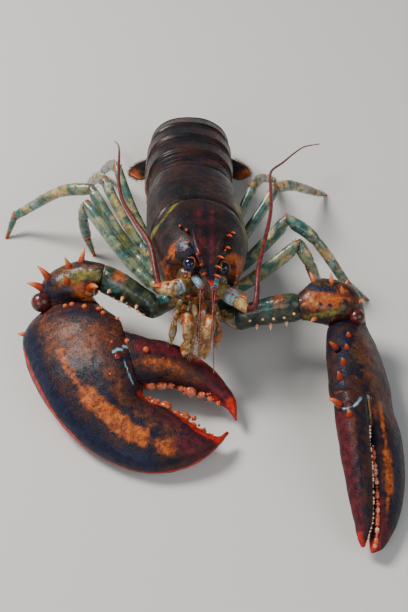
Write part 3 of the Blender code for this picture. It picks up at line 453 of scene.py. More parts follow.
def ring_grid(centres: Array, across: Array | Sequence[float], up: Array | Sequence[float], half: Array | float,
              above: Array | float, below: Array | float, columns: int, power: float = 2.3) -> Array:
    """Rings round a line of centres: superellipses with their own height above and below.

    Args:
        centres: the middle of each ring.
        across: the direction of each ring's width, or one for all.
        up: the direction of each ring's height, or one for all.
        half: half the width of each ring, or one for all.
        above: the height of each ring above its middle, or one for all.
        below: the height of each ring below its middle, or one for all.
        columns: points in each ring.
        power: the superellipse's power.

    Returns:
        The grid of points.
    """
    across, up = (np.broadcast_to(way, centres.shape) for way in (across, up))
    half, above, below = (np.broadcast_to(size, len(centres)) for size in (half, above, below))
    angle = np.linspace(0, 2 * math.pi, columns, endpoint=False)
    c, s = np.cos(angle), np.sin(angle)
    x = np.sign(c) * np.abs(c) ** (2 / power)
    z = np.sign(s) * np.abs(s) ** (2 / power)
    height = np.where(z > 0, above[:, None], below[:, None]) * z
    return centres[:, None] + across[:, None] * (half[:, None] * x)[..., None] + up[:, None] * height[..., None]


def tangents(path: Array) -> Array:
    """The way a line of points runs at each of them."""
    return unit(np.gradient(path, axis=0))


def limb(path: Array, stations: Sequence[Sequence[float]], up: Array, rows: int, columns: int,
         start: Array | None = None, end: Array | None = None, power: float = 2.2) -> Array:
    """Rings of a limb along a path.

    Args:
        path: points along its middle.
        stations: place from 0 to 1, half width, height above and height below.
        up: roughly the limb's upper side.
        rows: how many rings.
        columns: points in each ring.
        start: the direction square to the first ring, if not the path's.
        end: the direction square to the last ring, if not the path's.
        power: the superellipse's power.

    Returns:
        The grid of points.
    """
    fine = spline(path, 400)
    length = np.concatenate(([0], np.cumsum(np.linalg.norm(np.diff(fine, axis=0), axis=1))))
    place = np.linspace(0, 1, rows)
    centres = np.stack([np.interp(place * length[-1], length, column) for column in fine.T], axis=1)
    ways = tangents(centres)
    blend = 0.12
    if start is not None:
        share = (1 - smooth(place, 0.0, blend))[:, None]
        ways = unit(ways * (1 - share) + unit(start) * share)
        centres[0] = centres[0] + unit(start) * GAP / 2
    if end is not None:
        share = smooth(place, 1 - blend, 1.0)[:, None]
        ways = unit(ways * (1 - share) + unit(end) * share)
        centres[-1] = centres[-1] - unit(end) * GAP / 2
    across = unit(np.cross(ways, up))
    half, above, below = table(stations, place).T
    return ring_grid(centres, across, np.cross(across, ways), half, above, below, columns, power)


def bend_route(start: Array, control: Array, end: Array, count: int) -> Array:
    """Points on a quadratic curve that leaves the start toward the control point."""
    t = np.linspace(0, 1, count)[:, None]
    return start * (1 - t) ** 2 + control * 2 * t * (1 - t) + end * t * t


def bisector(before: Array, at: Array, after: Array) -> Array:
    """The direction halfway between the way into a joint and the way out."""
    return unit(unit(at - before) + unit(after - at))


def thorn(root: Sequence[float], tip: Sequence[float], radius: float, bend: float = 0.12,
          strength: float = 1.0) -> Surface:
    """A tapered, slightly hooked spine that flares at its root.

    Args:
        root: the middle of its foot.
        tip: its point.
        radius: of its foot, in millimetres.
        bend: how far it bows, as a share of its length.
        strength: the tip value at its point.

    Returns:
        The spine.
    """
    base, point = np.asarray(root, float), np.asarray(tip, float)
    place = np.array((0.0, 0.18, 0.34, 0.48, 0.62, 0.75, 0.86, 0.94, 0.985, 1.0))
    thick = radius * np.array((1.35, 1.12, 0.98, 0.85, 0.70, 0.53, 0.36, 0.21, 0.10, 0.02))
    way = point - base
    side = unit(np.cross(way, UP if abs(unit(way)[2]) < 0.9 else np.array((1.0, 0.0, 0.0))))
    lift = unit(np.cross(side, way))
    sag = np.sin(place * math.pi)[:, None] * lift * bend * np.linalg.norm(way)
    grid = ring_grid(base + place[:, None] * way + sag, side, lift, thick, thick, thick, 10, 2.0)
    return grid_surface(grid, np.clip(place * 1.05, 0, 1) * strength)


def knob(centre: Sequence[float], radii: Sequence[float], out: Sequence[float], tip: float = 0.7, rows: int = 9,
         columns: int = 14) -> Surface:
    """A rounded tooth, bead or ball.

    Args:
        centre: its middle.
        radii: its size along its axis and across it.
        out: the way that its axis points.
        tip: the tip value at its outer end.
        rows: how many rings.
        columns: points in each ring.

    Returns:
        The surface.
    """
    axis = unit(np.asarray(out, float))
    side = unit(np.cross(axis, np.array((0.31, 0.52, 0.79))))
    other = np.cross(axis, side)
    turn = np.linspace(0.12, math.pi - 0.12, rows)
    place = (1 - np.cos(turn)) / 2
    radius = np.sin(turn) * radii[1]
    centres = np.asarray(centre, float) - np.cos(turn)[:, None] * axis * radii[0]
    grid = ring_grid(centres, side, other, radius, radius, radius, columns, 2.0)
    return grid_surface(grid, smooth(place, 0.25, 0.85) * tip)


def unrolled(points: Array, axis: Array) -> Array:
    """Places on the skin round an axis, unrolled.

    Args:
        points: places on the skin.
        axis: the line that the skin goes round.

    Returns:
        For each point its place along the axis and round it, from 0 to 1.
    """
    nearest = np.linalg.norm(points[:, None] - axis[None], axis=2).argmin(axis=1)
    ways = tangents(axis)
    across = unit(np.cross(ways, UP))
    up = np.cross(across, ways)
    away = points - axis[nearest]
    along = (away * ways[nearest]).sum(axis=1) / np.linalg.norm(axis[-1] - axis[0])
    angle = np.arctan2((away * up[nearest]).sum(axis=1), (away * across[nearest]).sum(axis=1))
    return np.clip(np.stack((nearest / (len(axis) - 1) + along, angle / (2 * math.pi) + 0.5), axis=1), 0, 1)


def strands(roots: Array, ways: Array, length: float, radius: float, chance: Chance, axis: Array,
            spread: float = 0.35, droop: float = 0.25) -> Surface:
    """Thin tapered hairs, each bent a little its own way.

    Args:
        roots: where they grow.
        ways: the direction of each, or one for all.
        length: of the longer ones, in millimetres.
        radius: of each, in millimetres.
        chance: the source of random numbers.
        axis: the line that their skin goes round.
        spread: how far the directions scatter.
        droop: how far the hairs bend over.

    Returns:
        All the hairs as one surface.
    """
    count = len(roots)
    ways = unit(ways + chance.normal(0, spread, (count, 3)))
    side = unit(np.cross(ways, chance.normal(0, 1, (count, 3))))
    other = np.cross(ways, side)
    sizes = length * chance.uniform(0.6, 1.1, count)
    points, faces = [], []
    angles = np.arange(3) * 2 * math.pi / 3
    for place, thick in ((-0.08, 1.0), (0.35, 0.8), (0.7, 0.5), (1.0, 0.08)):
        middle = roots + ways * (sizes * place)[:, None] + other * (sizes * droop * max(place, 0) ** 2)[:, None]
        for angle in angles:
            points.append(middle + (side * math.cos(angle) + other * math.sin(angle)) * radius * thick)
    block = np.stack(points, axis=1)
    for strand in range(count):
        base = strand * 12
        for level in range(3):
            for k in range(3):
                a, b = base + level * 3 + k, base + level * 3 + (k + 1) % 3
                faces.append((a, b, b + 3, a + 3))
        faces.append((base + 2, base + 1, base))
        faces.append((base + 9, base + 10, base + 11))
    tip = np.tile(np.repeat((0.0, 0.3, 0.6, 1.0), 3), count)
    return Surface(block.reshape(-1, 3), faces, tip, unrolled(roots, axis))


class Tone(Enum):
    """The masks that a finish may read, in the order in which they cover one another."""

    OLIVE = "olive"
    TEAL = "teal"
    BROWN = "brown"
    ORANGE = "orange"
    # Near-black: dark markings, and also painted shadow on the slender claw's palm.
    INK_AND_SHADE = "ink_and_shade"
    WINE = "wine"
    RED = "red"
    BLUE = "blue"
    PALE = "pale"


# For each tone its darker and lighter colour, and how far dark spots break it up.
TONE_COLOURS: dict[Tone, tuple[Colour, Colour, float]] = {
    Tone.OLIVE: ((0.060, 0.055, 0.010), (0.22, 0.19, 0.025), 0.5),
    Tone.TEAL: ((0.010, 0.045, 0.045), (0.045, 0.17, 0.16), 0.3),
    Tone.BROWN: ((0.060, 0.018, 0.010), (0.19, 0.050, 0.016), 0.8),
    Tone.ORANGE: ((0.24, 0.045, 0.008), (0.52, 0.125, 0.020), 0.75),
    Tone.INK_AND_SHADE: ((0.004, 0.006, 0.020), (0.010, 0.014, 0.040), 0.0),
    Tone.WINE: ((0.042, 0.006, 0.010), (0.12, 0.012, 0.018), 0.35),
    Tone.RED: ((0.26, 0.008, 0.005), (0.56, 0.026, 0.008), 0.0),
    Tone.BLUE: ((0.10, 0.26, 0.34), (0.36, 0.60, 0.68), 0.2),
    Tone.PALE: ((0.44, 0.26, 0.08), (0.76, 0.56, 0.27), 0.2),
}


class Board:
    """A material's node tree, with short ways to add the nodes that shell needs."""

    def __init__(self, name: str) -> None:
        """Start a new material."""
        self.material = bpy.data.materials.new(name)
        self.material.use_nodes = True
        self.nodes = self.material.node_tree.nodes
        self.links = self.material.node_tree.links
        self.shader = self.nodes["Principled BSDF"]
        self.where = self.nodes.new("ShaderNodeTexCoord").outputs["Object"]

    def add(self, kind: str, inputs: dict, **settings: object) -> bpy.types.Node:
        """A node with its settings made and its inputs set or linked.

        Args:
            kind: the kind of node.
            inputs: a value or another node's output for each input.
            settings: the settings of the node.

        Returns:
            The node.
        """
        node = self.nodes.new(kind)
        for key, value in settings.items():
            setattr(node, key, value)
        for key, value in inputs.items():
            if isinstance(value, Socket):
                self.links.new(value, node.inputs[key])
            else:
                node.inputs[key].default_value = value
        return node

    def noise(self, size: float, detail: float = 3.0, rough: float = 0.55, warp: float = 0.0) -> Socket:
        """Noise as a node's output.

        Args:
            size: the width of its largest features, in millimetres.
            detail: how many finer layers it has.
            rough: how strong the finer layers are.
            warp: how far it is distorted.

        Returns:
            The noise, from 0 to 1.
        """
        inputs = {"Vector": self.where, "Scale": 1.0 / (size * MM), "Detail": detail, "Roughness": rough,
                  "Distortion": warp}
        return self.add("ShaderNodeTexNoise", inputs).outputs["Fac"]

    def pits(self, size: float) -> Socket:
        """Distance from the middle of scattered cells, for pores and granules."""
        inputs = {"Vector": self.where, "Scale": 1.0 / (size * MM), "Randomness": 1.0}
        return self.add("ShaderNodeTexVoronoi", inputs).outputs["Distance"]

    def step(self, value: Socket, low: float, high: float) -> Socket:
        """A soft step from 0 at low to 1 at high."""
        inputs = {0: value, 1: low, 2: high, 3: 0.0, 4: 1.0}
        return self.add("ShaderNodeMapRange", inputs, interpolation_type="SMOOTHSTEP").outputs[0]

    def sum(self, operation: str, a: object, b: object) -> Socket:
        """One step of arithmetic."""
        return self.add("ShaderNodeMath", {0: a, 1: b}, operation=operation).outputs[0]

    def mix(self, share: object, a: object, b: object) -> Socket:
        """A mix of two colours."""
        paints = [(*x, 1.0) if isinstance(x, tuple) else x for x in (a, b)]
        return self.add("ShaderNodeMix", {0: share, 6: paints[0], 7: paints[1]}, data_type="RGBA").outputs[2]

    def mask(self, name: str) -> Socket:
        """A mask written on the mesh."""
        return self.add("ShaderNodeAttribute", {}, attribute_name=name).outputs["Fac"]

    def finish(self, colour: Socket, rough: Socket, relief: Socket, depth: float) -> None:
        """Link the colour, the roughness and the bump.

        Args:
            colour: the colour.
            rough: the roughness.
            relief: the height of the bump.
            depth: the depth of the bump, in millimetres.
        """
        bump = self.add("ShaderNodeBump", {"Strength": 1.0, "Distance": depth * MM, "Height": relief})
        self.links.new(colour, self.shader.inputs["Base Color"])
        self.links.new(rough, self.shader.inputs["Roughness"])
        self.links.new(bump.outputs["Normal"], self.shader.inputs["Normal"])


@dataclass(frozen=True)
class ShellFinish:
    """Mottled, pitted, glossy shell.

    Attributes:
        slot: the record's material slot; not used.
        deep: the darkest ground colour.
        warm: the lighter ground colour.
        fleck: the colour of small flecks.
        fleck_share: how much of the surface the flecks cover.
        mottle: the width of the mottling, in millimetres.
        gloss: the lowest and highest roughness.
        coat: the weight of the clear wet coat.
        pit: the width of the pores, in millimetres.
        relief: the depth of the bump, in millimetres.
        root: the colour at a spine's root.
        point: the colour at a spine's tip.
        breakup: how far noise breaks up the edges of the masks.
        specular: how strongly the shell under the coat reflects.
    """

    slot: str
    deep: Colour
    warm: Colour
    fleck: Colour
    fleck_share: float = 0.3
    mottle: float = 9.0
    gloss: tuple[float, float] = (0.22, 0.42)
    coat: float = 0.5
    pit: float = 1.4
    relief: float = 0.16
    root: Colour = (0.55, 0.08, 0.03)
    point: Colour = (0.85, 0.30, 0.12)
    breakup: float = 0.9
    specular: float = 0.4

    def make(self, name: str) -> bpy.types.Material:
        """The finish as a material.

        Args:
            name: the name of the material.

        Returns:
            The material.
        """
        board = Board(name)
        broad = board.noise(self.mottle, 5.0, 0.62, 0.7)
        fine = board.noise(self.mottle * 0.3, 4.0, 0.68, 0.5)
        ground = board.mix(board.step(broad, 0.40, 0.64), self.deep, self.warm)
        low = 0.72 - 0.4 * self.fleck_share
        colour = board.mix(board.step(fine, low, low + 0.14), ground, self.fleck)
        ragged = board.sum("MULTIPLY", board.sum("SUBTRACT", board.sum("ADD", fine, broad), 1.0), self.breakup)
        speckle = board.step(board.noise(1.9, 3.0, 0.75, 0.3), 0.50, 0.64)
        shade = board.step(board.noise(self.mottle * 0.55, 4.0, 0.6), 0.36, 0.66)
        for tone in Tone:
            dark, light, broken = TONE_COLOURS[tone]
            mask = board.mask(tone.value)
            edge = board.step(board.sum("ADD", mask, ragged), 0.28, 0.86)
            share = board.sum("MULTIPLY", edge, board.step(mask, 0.02, 0.25))
            paint = board.mix(shade, dark, light)
            kept = board.sum("SUBTRACT", 1.0, board.sum("MULTIPLY", speckle, broken))
            colour = board.mix(board.sum("MULTIPLY", share, kept), colour, paint)
        tip = board.sum("ADD", board.mask("tip"), board.sum("MULTIPLY", board.sum("SUBTRACT", fine, 0.5), 0.3))
        tip = board.sum("MULTIPLY", tip, board.step(board.mask("tip"), 0.0, 0.06))
        colour = board.mix(board.step(tip, 0.04, 0.42), colour, self.root)
        colour = board.mix(board.step(tip, 0.50, 1.0), colour, self.point)
        rough = board.add("ShaderNodeMapRange", {0: board.noise(2.6, 4.0), 1: 0.3, 2: 0.7, 3: self.gloss[0],
                                                 4: self.gloss[1]}).outputs[0]
        pores = board.step(board.pits(self.pit), 0.0, 0.42)
        relief = board.sum("ADD", pores, board.noise(0.9, 3.0))
        board.finish(colour, rough, relief, self.relief)
        board.shader.inputs["Coat Weight"].default_value = self.coat
        board.shader.inputs["Coat Roughness"].default_value = 0.14
        board.shader.inputs["IOR"].default_value = 1.42
        board.shader.inputs["Specular IOR Level"].default_value = self.specular
        return board.material


@dataclass(frozen=True)
class EyeFinish:
    """Dark, faceted, wet eye."""

    slot: str = "eye_black"

    def make(self, name: str) -> bpy.types.Material:
        """The finish as a material.

        Args:
            name: the name of the material.

        Returns:
            The material.
        """
        board = Board(name)
        ground = board.mix(board.step(board.noise(5.0), 0.4, 0.7), (0.002, 0.0025, 0.008), (0.006, 0.010, 0.045))
        colour = board.mix(board.mask("orange"), ground, (0.50, 0.13, 0.015))
        rough = board.step(board.noise(1.5), -1.0, 6.0)
        board.finish(colour, rough, board.pits(0.35), 0.02)
        board.shader.inputs["Coat Weight"].default_value = 0.6
        board.shader.inputs["Coat Roughness"].default_value = 0.05
        board.shader.inputs["Specular IOR Level"].default_value = 0.25
        return board.material


@dataclass(frozen=True)
class HairFinish:
    """Dull golden bristles."""

    slot: str = "fringe_hair"
    root: Colour = (0.22, 0.10, 0.04)
    point: Colour = (0.62, 0.42, 0.18)

    def make(self, name: str) -> bpy.types.Material:
        """The finish as a material.

        Args:
            name: the name of the material.

        Returns:
            The material.
        """
        board = Board(name)
        shade = board.mix(board.noise(3.0), self.root, tuple(0.6 * value for value in self.point))
        colour = board.mix(board.step(board.mask("tip"), 0.0, 1.0), shade, self.point)
        board.finish(colour, board.step(board.noise(2.0), -0.6, 1.4), board.noise(0.5), 0.02)
        return board.material


FINISHES: dict[str, ShellFinish | EyeFinish | HairFinish] = {
    "back_shell": ShellFinish("shell_dark", (0.0075, 0.0060, 0.0085), (0.032, 0.012, 0.010), (0.055, 0.022, 0.012),
                              fleck_share=0.18, mottle=15.0, gloss=(0.30, 0.50), coat=0.10, relief=0.16, specular=0.28,
                              root=(0.34, 0.030, 0.008), point=(0.62, 0.13, 0.03)),
    "claw_shell": ShellFinish("shell_claw", (0.0085, 0.0080, 0.017), (0.055, 0.017, 0.011), (0.12, 0.032, 0.013),
                              fleck_share=0.34, mottle=8.0, gloss=(0.34, 0.56), coat=0.05, relief=0.26, specular=0.24,
                              root=(0.36, 0.035, 0.008), point=(0.72, 0.22, 0.07)),
    "arm_shell": ShellFinish("shell_claw", (0.014, 0.009, 0.014), (0.13, 0.038, 0.012), (0.008, 0.007, 0.018),
                             fleck_share=0.40, mottle=6.5, gloss=(0.28, 0.46), coat=0.18, relief=0.22, specular=0.3,
                             root=(0.38, 0.035, 0.008), point=(0.75, 0.22, 0.07)),
    "belly_shell": ShellFinish("shell_belly", (0.16, 0.070, 0.022), (0.50, 0.30, 0.11), (0.16, 0.13, 0.05),
                               fleck_share=0.42, mottle=4.5, gloss=(0.28, 0.48), coat=0.35, relief=0.16,
                               root=(0.42, 0.05, 0.01), point=(0.76, 0.26, 0.09)),
    "leg_shell": ShellFinish("limb_teal", (0.045, 0.115, 0.095), (0.27, 0.29, 0.15), (0.50, 0.50, 0.33),
                             fleck_share=0.28, mottle=6.5, gloss=(0.22, 0.4), coat=0.45, relief=0.18,
                             root=(0.42, 0.05, 0.01), point=(0.80, 0.32, 0.13)),
    "merus_shell": ShellFinish("limb_teal", (0.007, 0.020, 0.020), (0.060, 0.070, 0.026), (0.17, 0.060, 0.014),
                               fleck_share=0.34, mottle=7.0, gloss=(0.24, 0.42), coat=0.45, relief=0.2,
                               root=(0.52, 0.09, 0.02), point=(0.86, 0.60, 0.38)),
    "feeler_shell": ShellFinish("feeler_red", (0.085, 0.010, 0.011), (0.19, 0.030, 0.022), (0.32, 0.12, 0.075),
                                fleck_share=0.2, mottle=3.0, gloss=(0.3, 0.48), coat=0.3, relief=0.06),
    "tooth_shell": ShellFinish("tooth_ivory", (0.34, 0.045, 0.012), (0.52, 0.12, 0.035), (0.68, 0.32, 0.14),
                               fleck_share=0.3, mottle=3.0, gloss=(0.18, 0.32), coat=0.5, relief=0.08,
                               root=(0.50, 0.075, 0.018), point=(0.86, 0.62, 0.44)),
    "face_shell": ShellFinish("shell_belly", (0.045, 0.020, 0.010), (0.20, 0.085, 0.028), (0.52, 0.36, 0.15),
                              fleck_share=0.36, mottle=4.0, gloss=(0.2, 0.4), coat=0.5, relief=0.25),
    "membrane": ShellFinish("joint_membrane", (0.10, 0.030, 0.010), (0.24, 0.085, 0.024), (0.05, 0.02, 0.012),
                            fleck_share=0.3, mottle=3.0, gloss=(0.35, 0.55), coat=0.25, relief=0.3),
    "joint_ball": ShellFinish("joint_red", (0.035, 0.008, 0.010), (0.17, 0.016, 0.010), (0.30, 0.045, 0.012),
                              fleck_share=0.26, mottle=5.0, gloss=(0.22, 0.4), coat=0.5, relief=0.14),
    "eye": EyeFinish(),
    "hair": HairFinish(),
}


class Workshop:
    """Turns surfaces into named pieces of the scene that stand for nodes of the frame."""

    # The side of a hair's patch of the bake map.
    PATCH = 0.003

    def __init__(self) -> None:
        """Make every finish's material."""
        self.materials = {name: finish.make(name) for name, finish in FINISHES.items()}
        self.triangles = 0

    def piece(self, name: str, surface: Surface, finish: str, replaces: Sequence[str] = (),
              masks: dict[Tone, Mask] | None = None, cutter: "Surface | None" = None) -> bpy.types.Object:
        """Add a piece.

        Args:
            name: the piece's name.
            surface: its shape.
            finish: the key of its finish.
            replaces: the nodes that it stands for.
            masks: where its coloured zones lie.
            cutter: a closed surface that is taken out of it.

        Returns:
            The new object.
        """
        surface.points[:, 2] = np.maximum(surface.points[:, 2], 0.0)
        data = self.mesh(name, surface)
        if surface.places is not None:
            self.bake_map(data, surface.places)
        item = place_object(name, data)
        if cutter is not None:
            self.cut(item, cutter)
        data = item.data
        data.materials.clear()
        data.materials.append(self.materials[finish])
        points = np.zeros(len(data.vertices) * 3)
        data.vertices.foreach_get("co", points)
        points = points.reshape(-1, 3) / MM - MODEL_SHIFT
        for tone, mask in (masks or {}).items():
            layer = data.attributes.new(tone.value, "FLOAT", "POINT")
            layer.data.foreach_set("value", np.clip(mask(points), 0, 1).astype(np.float32))
        data.shade_smooth()
        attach(item, "root")
        if replaces:
            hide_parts(*replaces)
        count = sum(len(face.vertices) - 2 for face in data.polygons)
        self.triangles += count
        log.info("piece %s: %d triangles", name, count)
        return item

    def mesh(self, name: str, surface: Surface) -> bpy.types.Mesh:
        """A mesh in metres, its faces pointing out, with the tip values on it.

        Args:
            name: the name of the mesh.
            surface: its shape.

        Returns:
            The mesh.
        """
        data = bpy.data.meshes.new(name)
        data.from_pydata(((surface.points + MODEL_SHIFT) * MM).tolist(), [], surface.faces)
        layer = data.attributes.new("tip", "FLOAT", "POINT")
        layer.data.foreach_set("value", surface.tip.astype(np.float32))
        work = bmesh.new()
        work.from_mesh(data)
        bmesh.ops.recalc_face_normals(work, faces=work.faces[:])
        work.to_mesh(data)
        work.free()
        return data

    def bake_map(self, data: bpy.types.Mesh, places: Array) -> None:
        """Give each hair a small patch of the bake map, at its root's place on the unrolled skin.

        Args:
            data: the mesh of the hairs.
            places: the place of each hair's root.
        """
        layer = data.uv_layers.new(name="OFBake")
        for face in data.polygons:
            sides = [corner % 3 for corner in face.vertices]
            levels = [corner % 12 // 3 for corner in face.vertices]
            wraps = len(sides) == 4 and max(sides) - min(sides) == 2
            for loop, corner, side, level in zip(face.loop_indices, face.vertices, sides, levels):
                u, v = side / 3, level / 3
                if wraps and side == 0:
                    u = 1.0
                if len(sides) == 3 and side == 1:
                    v += 0.15 if level else -0.15
                root = places[corner // 12] * (1 - 2 * self.PATCH) + self.PATCH / 2
                layer.data[loop].uv = (root[0] + u * self.PATCH, root[1] + v * self.PATCH)

    def cut(self, item: bpy.types.Object, cutter: Surface) -> None:
        """Take a closed surface out of a piece.

        Args:
            item: the piece.
            cutter: what is taken out.
        """
        block = place_object("block", self.mesh("block", cutter))
        change = item.modifiers.new("cut", "BOOLEAN")
        change.operation = "DIFFERENCE"
        change.object = block
        change.solver = "EXACT"
        bpy.context.view_layer.update()
        made = bpy.data.meshes.new_from_object(item.evaluated_get(bpy.context.evaluated_depsgraph_get()))
        item.modifiers.clear()
        item.data = made
        bpy.data.objects.remove(block, do_unlink=True)


@dataclass
class Carapace:
    """The shield over head and thorax, with rostrum, grooves and spines."""

    # Distance forward of the rear edge, half width, top and lower edge.
    rows: tuple = (
        (0.0, 24.5, 0.0, -38.0), (4.0, 26.0, 0.9, -39.0), (18.0, 28.2, 1.6, -42.0), (34.0, 29.0, 2.1, -44.0),
        (50.0, 28.4, 2.6, -44.0), (64.0, 27.2, 2.8, -43.0), (78.0, 24.6, 2.0, -41.0), (88.0, 21.6, 0.0, -38.0),
        (93.0, 19.4, -2.0, -35.0))
    # Distance forward, half width, top height, thickness.
    rostrum: tuple = ((80.0, 10.5, 1.0, 6.0), (88.0, 9.4, 0.2, 6.0), (94.0, 8.2, -1.2, 5.6), (104.0, 5.2, -3.2, 5.0),
                      (114.0, 3.1, -4.4, 3.6), (122.0, 1.4, -4.6, 2.4), (126.5, 0.4, -4.0, 0.9))
    teeth: tuple = ((99.0, 7.0), (107.0, 5.2), (114.5, 4.0))
    head_spines: tuple = (
        (92.0, 11.5, -1.0), (84.0, 12.5, 2.0), (90.0, 17.5, -9.0), (78.0, 15.5, 0.4), (86.0, 19.5, -14.0))
    # Pixel across and down, radius and height.
    grains: tuple = (
        (173.5, 268, 0.9, 1.2), (175.7, 276, 0.9, 1.2), (237, 276, 1.0, 1.3), (234, 283, 0.9, 1.2),
        (240, 285, 0.8, 1.1), (184, 250, 0.7, 0.8), (226, 250, 0.7, 0.8), (222, 243, 0.6, 0.7))
    power: float = 2.35
    widest: float = -22.0
    edge_share: float = 0.74
    groove_at: float = 48.0
    sweep: float = 17.0
    arc_points: int = 150
    ring_count: int = 190

    def lean(self, forward: Array) -> Array:
        """How far the rings lean forward at the sides, most at the cervical groove."""
        return self.sweep * np.maximum(0.0, 1.0 - np.abs(forward - self.groove_at) / 45.0) ** 1.4

    def shell_grid(self) -> Array:
        """Rings of the shield in the body frame, with its grooves and rims."""
        forward = np.linspace(0.3, 93.0, self.ring_count)
        half, top, edge = (column[:, None] for column in table(self.rows, forward).T)
        start = -math.radians(34)
        angle = np.linspace(start, math.pi - start, self.arc_points)[None]
        c, s = np.cos(angle), np.sin(angle)
        upper = s >= 0
        rise = np.where(upper, np.abs(s), 0.0)
        depth = np.where(upper, 0.0, s / math.sin(start))
        x = np.where(upper, half * np.sign(c) * np.abs(c) ** (2 / self.power),
                     np.sign(c) * half * (1 - (1 - self.edge_share) * depth ** 1.6))
        z = np.where(upper, self.widest + (top - self.widest) * rise ** (2 / self.power),
                     self.widest + (edge - self.widest) * depth ** 0.8)
        lean = self.lean(forward)[:, None] * np.where(upper, (1 - rise) ** 0.8, 1 - depth ** 2)
        y = -forward[:, None] - lean
        groove = np.exp(-((forward[:, None] - self.groove_at) / 1.7) ** 2) * smooth(s, -0.25, 0.1)
        step = smooth(forward[:, None], self.groove_at - 1.0, self.groove_at + 3.0)
        step = step * (1 - smooth(forward[:, None], self.groove_at + 6, self.groove_at + 22))
        rim = np.exp(-((forward[:, None] - 2.2) / 1.5) ** 2) - 0.9 * np.exp(-((forward[:, None] - 5.4) / 1.2) ** 2)
        lower = np.exp(-((depth - 0.93) / 0.06) ** 2) - 0.8 * np.exp(-((depth - 0.78) / 0.05) ** 2)
        inward = 1.9 * groove - 0.8 * step * smooth(s, -0.1, 0.3) - 0.5 * rim - 0.5 * lower * (depth > 0)
        seam = 0.35 * np.exp(-(x / 0.7) ** 2) * (s > 0)
        centre = np.stack((np.zeros_like(x), y, np.full_like(x, self.widest)), axis=-1)
        points = np.stack((x, y, z), axis=-1)
        out = unit(points - centre)
        points = points - out * (inward + seam)[..., None]
        floor = np.linspace(points[:, -1], points[:, 0], 9)[1:-1].transpose(1, 0, 2)
        floor[..., 1] = -forward[:, None]
        floor[..., 2] = edge
        return np.concatenate((points, floor), axis=1)

    def rostrum_grid(self) -> Array:
        """Rings of the rostrum in the body frame, hollowed along its top."""
        forward = np.linspace(80.0, 126.5, 70)
        half, top, thick = table(self.rostrum, forward).T
        centres = np.stack((0 * forward, -forward, top - thick / 2), axis=1)
        grid = ring_grid(centres, (1.0, 0, 0), UP, half, thick / 2, thick / 2, 44, 2.0)
        share = grid[..., 0] / np.maximum(half[:, None], 0.3)
        hollow = np.exp(-(share / 0.42) ** 2) * 0.22 * half[:, None]
        hollow -= 0.12 * half[:, None] * np.exp(-((np.abs(share) - 0.8) / 0.15) ** 2)
        grid[..., 2] -= np.where(grid[..., 2] > centres[:, None, 2], hollow, 0.0)
        return grid

    def spines(self) -> list[Surface]:
        """The rostrum's teeth and the spines behind the eyes."""
        made = []
        for side in SIDES:
            for forward, half in self.teeth:
                top = float(table(self.rostrum, np.array([forward]))[0, 1])
                made.append(thorn(from_body(mirrored((half - 1.9, -forward, top - 1.6), side)),
                                  from_body(mirrored((half + 0.9, -forward - 4.2, top + 0.9), side)), 0.95, 0.1))
            for forward, out, height in self.head_spines:
                made.append(thorn(from_body(mirrored((out - 0.7, -forward + 2.4, height - 2.6), side)),
                                  from_body(mirrored((out + 0.4, -forward - 2.4, height + 0.9), side)), 0.95, 0.12))
        return made

    def build(self, shop: Workshop) -> None:
        """Make the piece.

        Args:
            shop: makes the pieces.
        """
        shell = grid_surface(from_body(self.shell_grid()))
        shell = shell.raised(bumps((0.16, 9.0, 3), (0.06, 2.4, 4)))
        rostrum = grid_surface(from_body(self.rostrum_grid()))
        rostrum = rostrum.raised(bumps((0.08, 2.0, 5)))

        def flank(points: Array) -> Array:
            """Low on the flanks and along the rear rim."""
            local = to_body(points)
            low = smooth(-local[:, 2], 20.0, 36.0)
            return np.maximum(0.7 * low, 0.35 * smooth(local[:, 1], -4.0, -1.0))

        def groove(points: Array) -> Array:
            """Yellow-green along the cervical groove, away from the middle.

            Args:
                points: points in the model frame.

            Returns:
                The mask's value at each.
            """
            local = to_body(points)
            out = np.abs(local[:, 0])
            sweep = self.sweep * smooth(out, 10.0, 27.0)
            line = np.exp(-((-local[:, 1] - self.groove_at - sweep - 1.0) / 2.6) ** 2)
            return 0.85 * line * smooth(out, 7.0, 17.0)

        def dark_line(points: Array) -> Array:
            """The dark line along the middle of the back."""
            return 0.9 * np.exp(-(to_body(points)[:, 0] / 1.0) ** 2)

        def cheek(points: Array) -> Array:
            """A dull orange patch outside each eye socket."""
            local = to_body(points)
            shape = smooth(-local[:, 1], 82.0, 88.0) * smooth(np.abs(local[:, 0]), 13.0, 17.0)
            return 0.8 * shape * smooth(noise(points, 6.0, 9), -0.9, 0.3)

        stripes = either(stroke(1.0, 2.6, (199, 262), (199.5, 240), (200, 212)),
                         stroke(1.0, 2.6, (211, 262), (212, 240), (212, 212)))
        masks = {
            Tone.OLIVE: either(flank, groove, stroke(0.7, 3.5, (236, 200), (244, 225), (247, 247), soft=0.6)),
            Tone.ORANGE: either(cheek, stroke(0.7, 5.0, (174, 262), (180, 267)),
                                stroke(0.9, 6.0, (233, 258), (242, 262), (240, 272))),
            Tone.INK_AND_SHADE: either(dark_line, stroke(0.95, 7.0, (182, 247), (192, 249))),
            Tone.WINE: either(times(stripes, 0.75), stroke(0.45, 14.0, (205, 226), (206, 250))),
            Tone.RED: lambda points: smooth(-to_body(points)[:, 1], 117.0, 124.0),
        }
        parts = [shell, rostrum, *self.spines(), *shell.beads(self.grains, 0.9)]
        shop.piece("carapace_shell", Surface.join(parts), "back_shell", ["carapace"], masks)


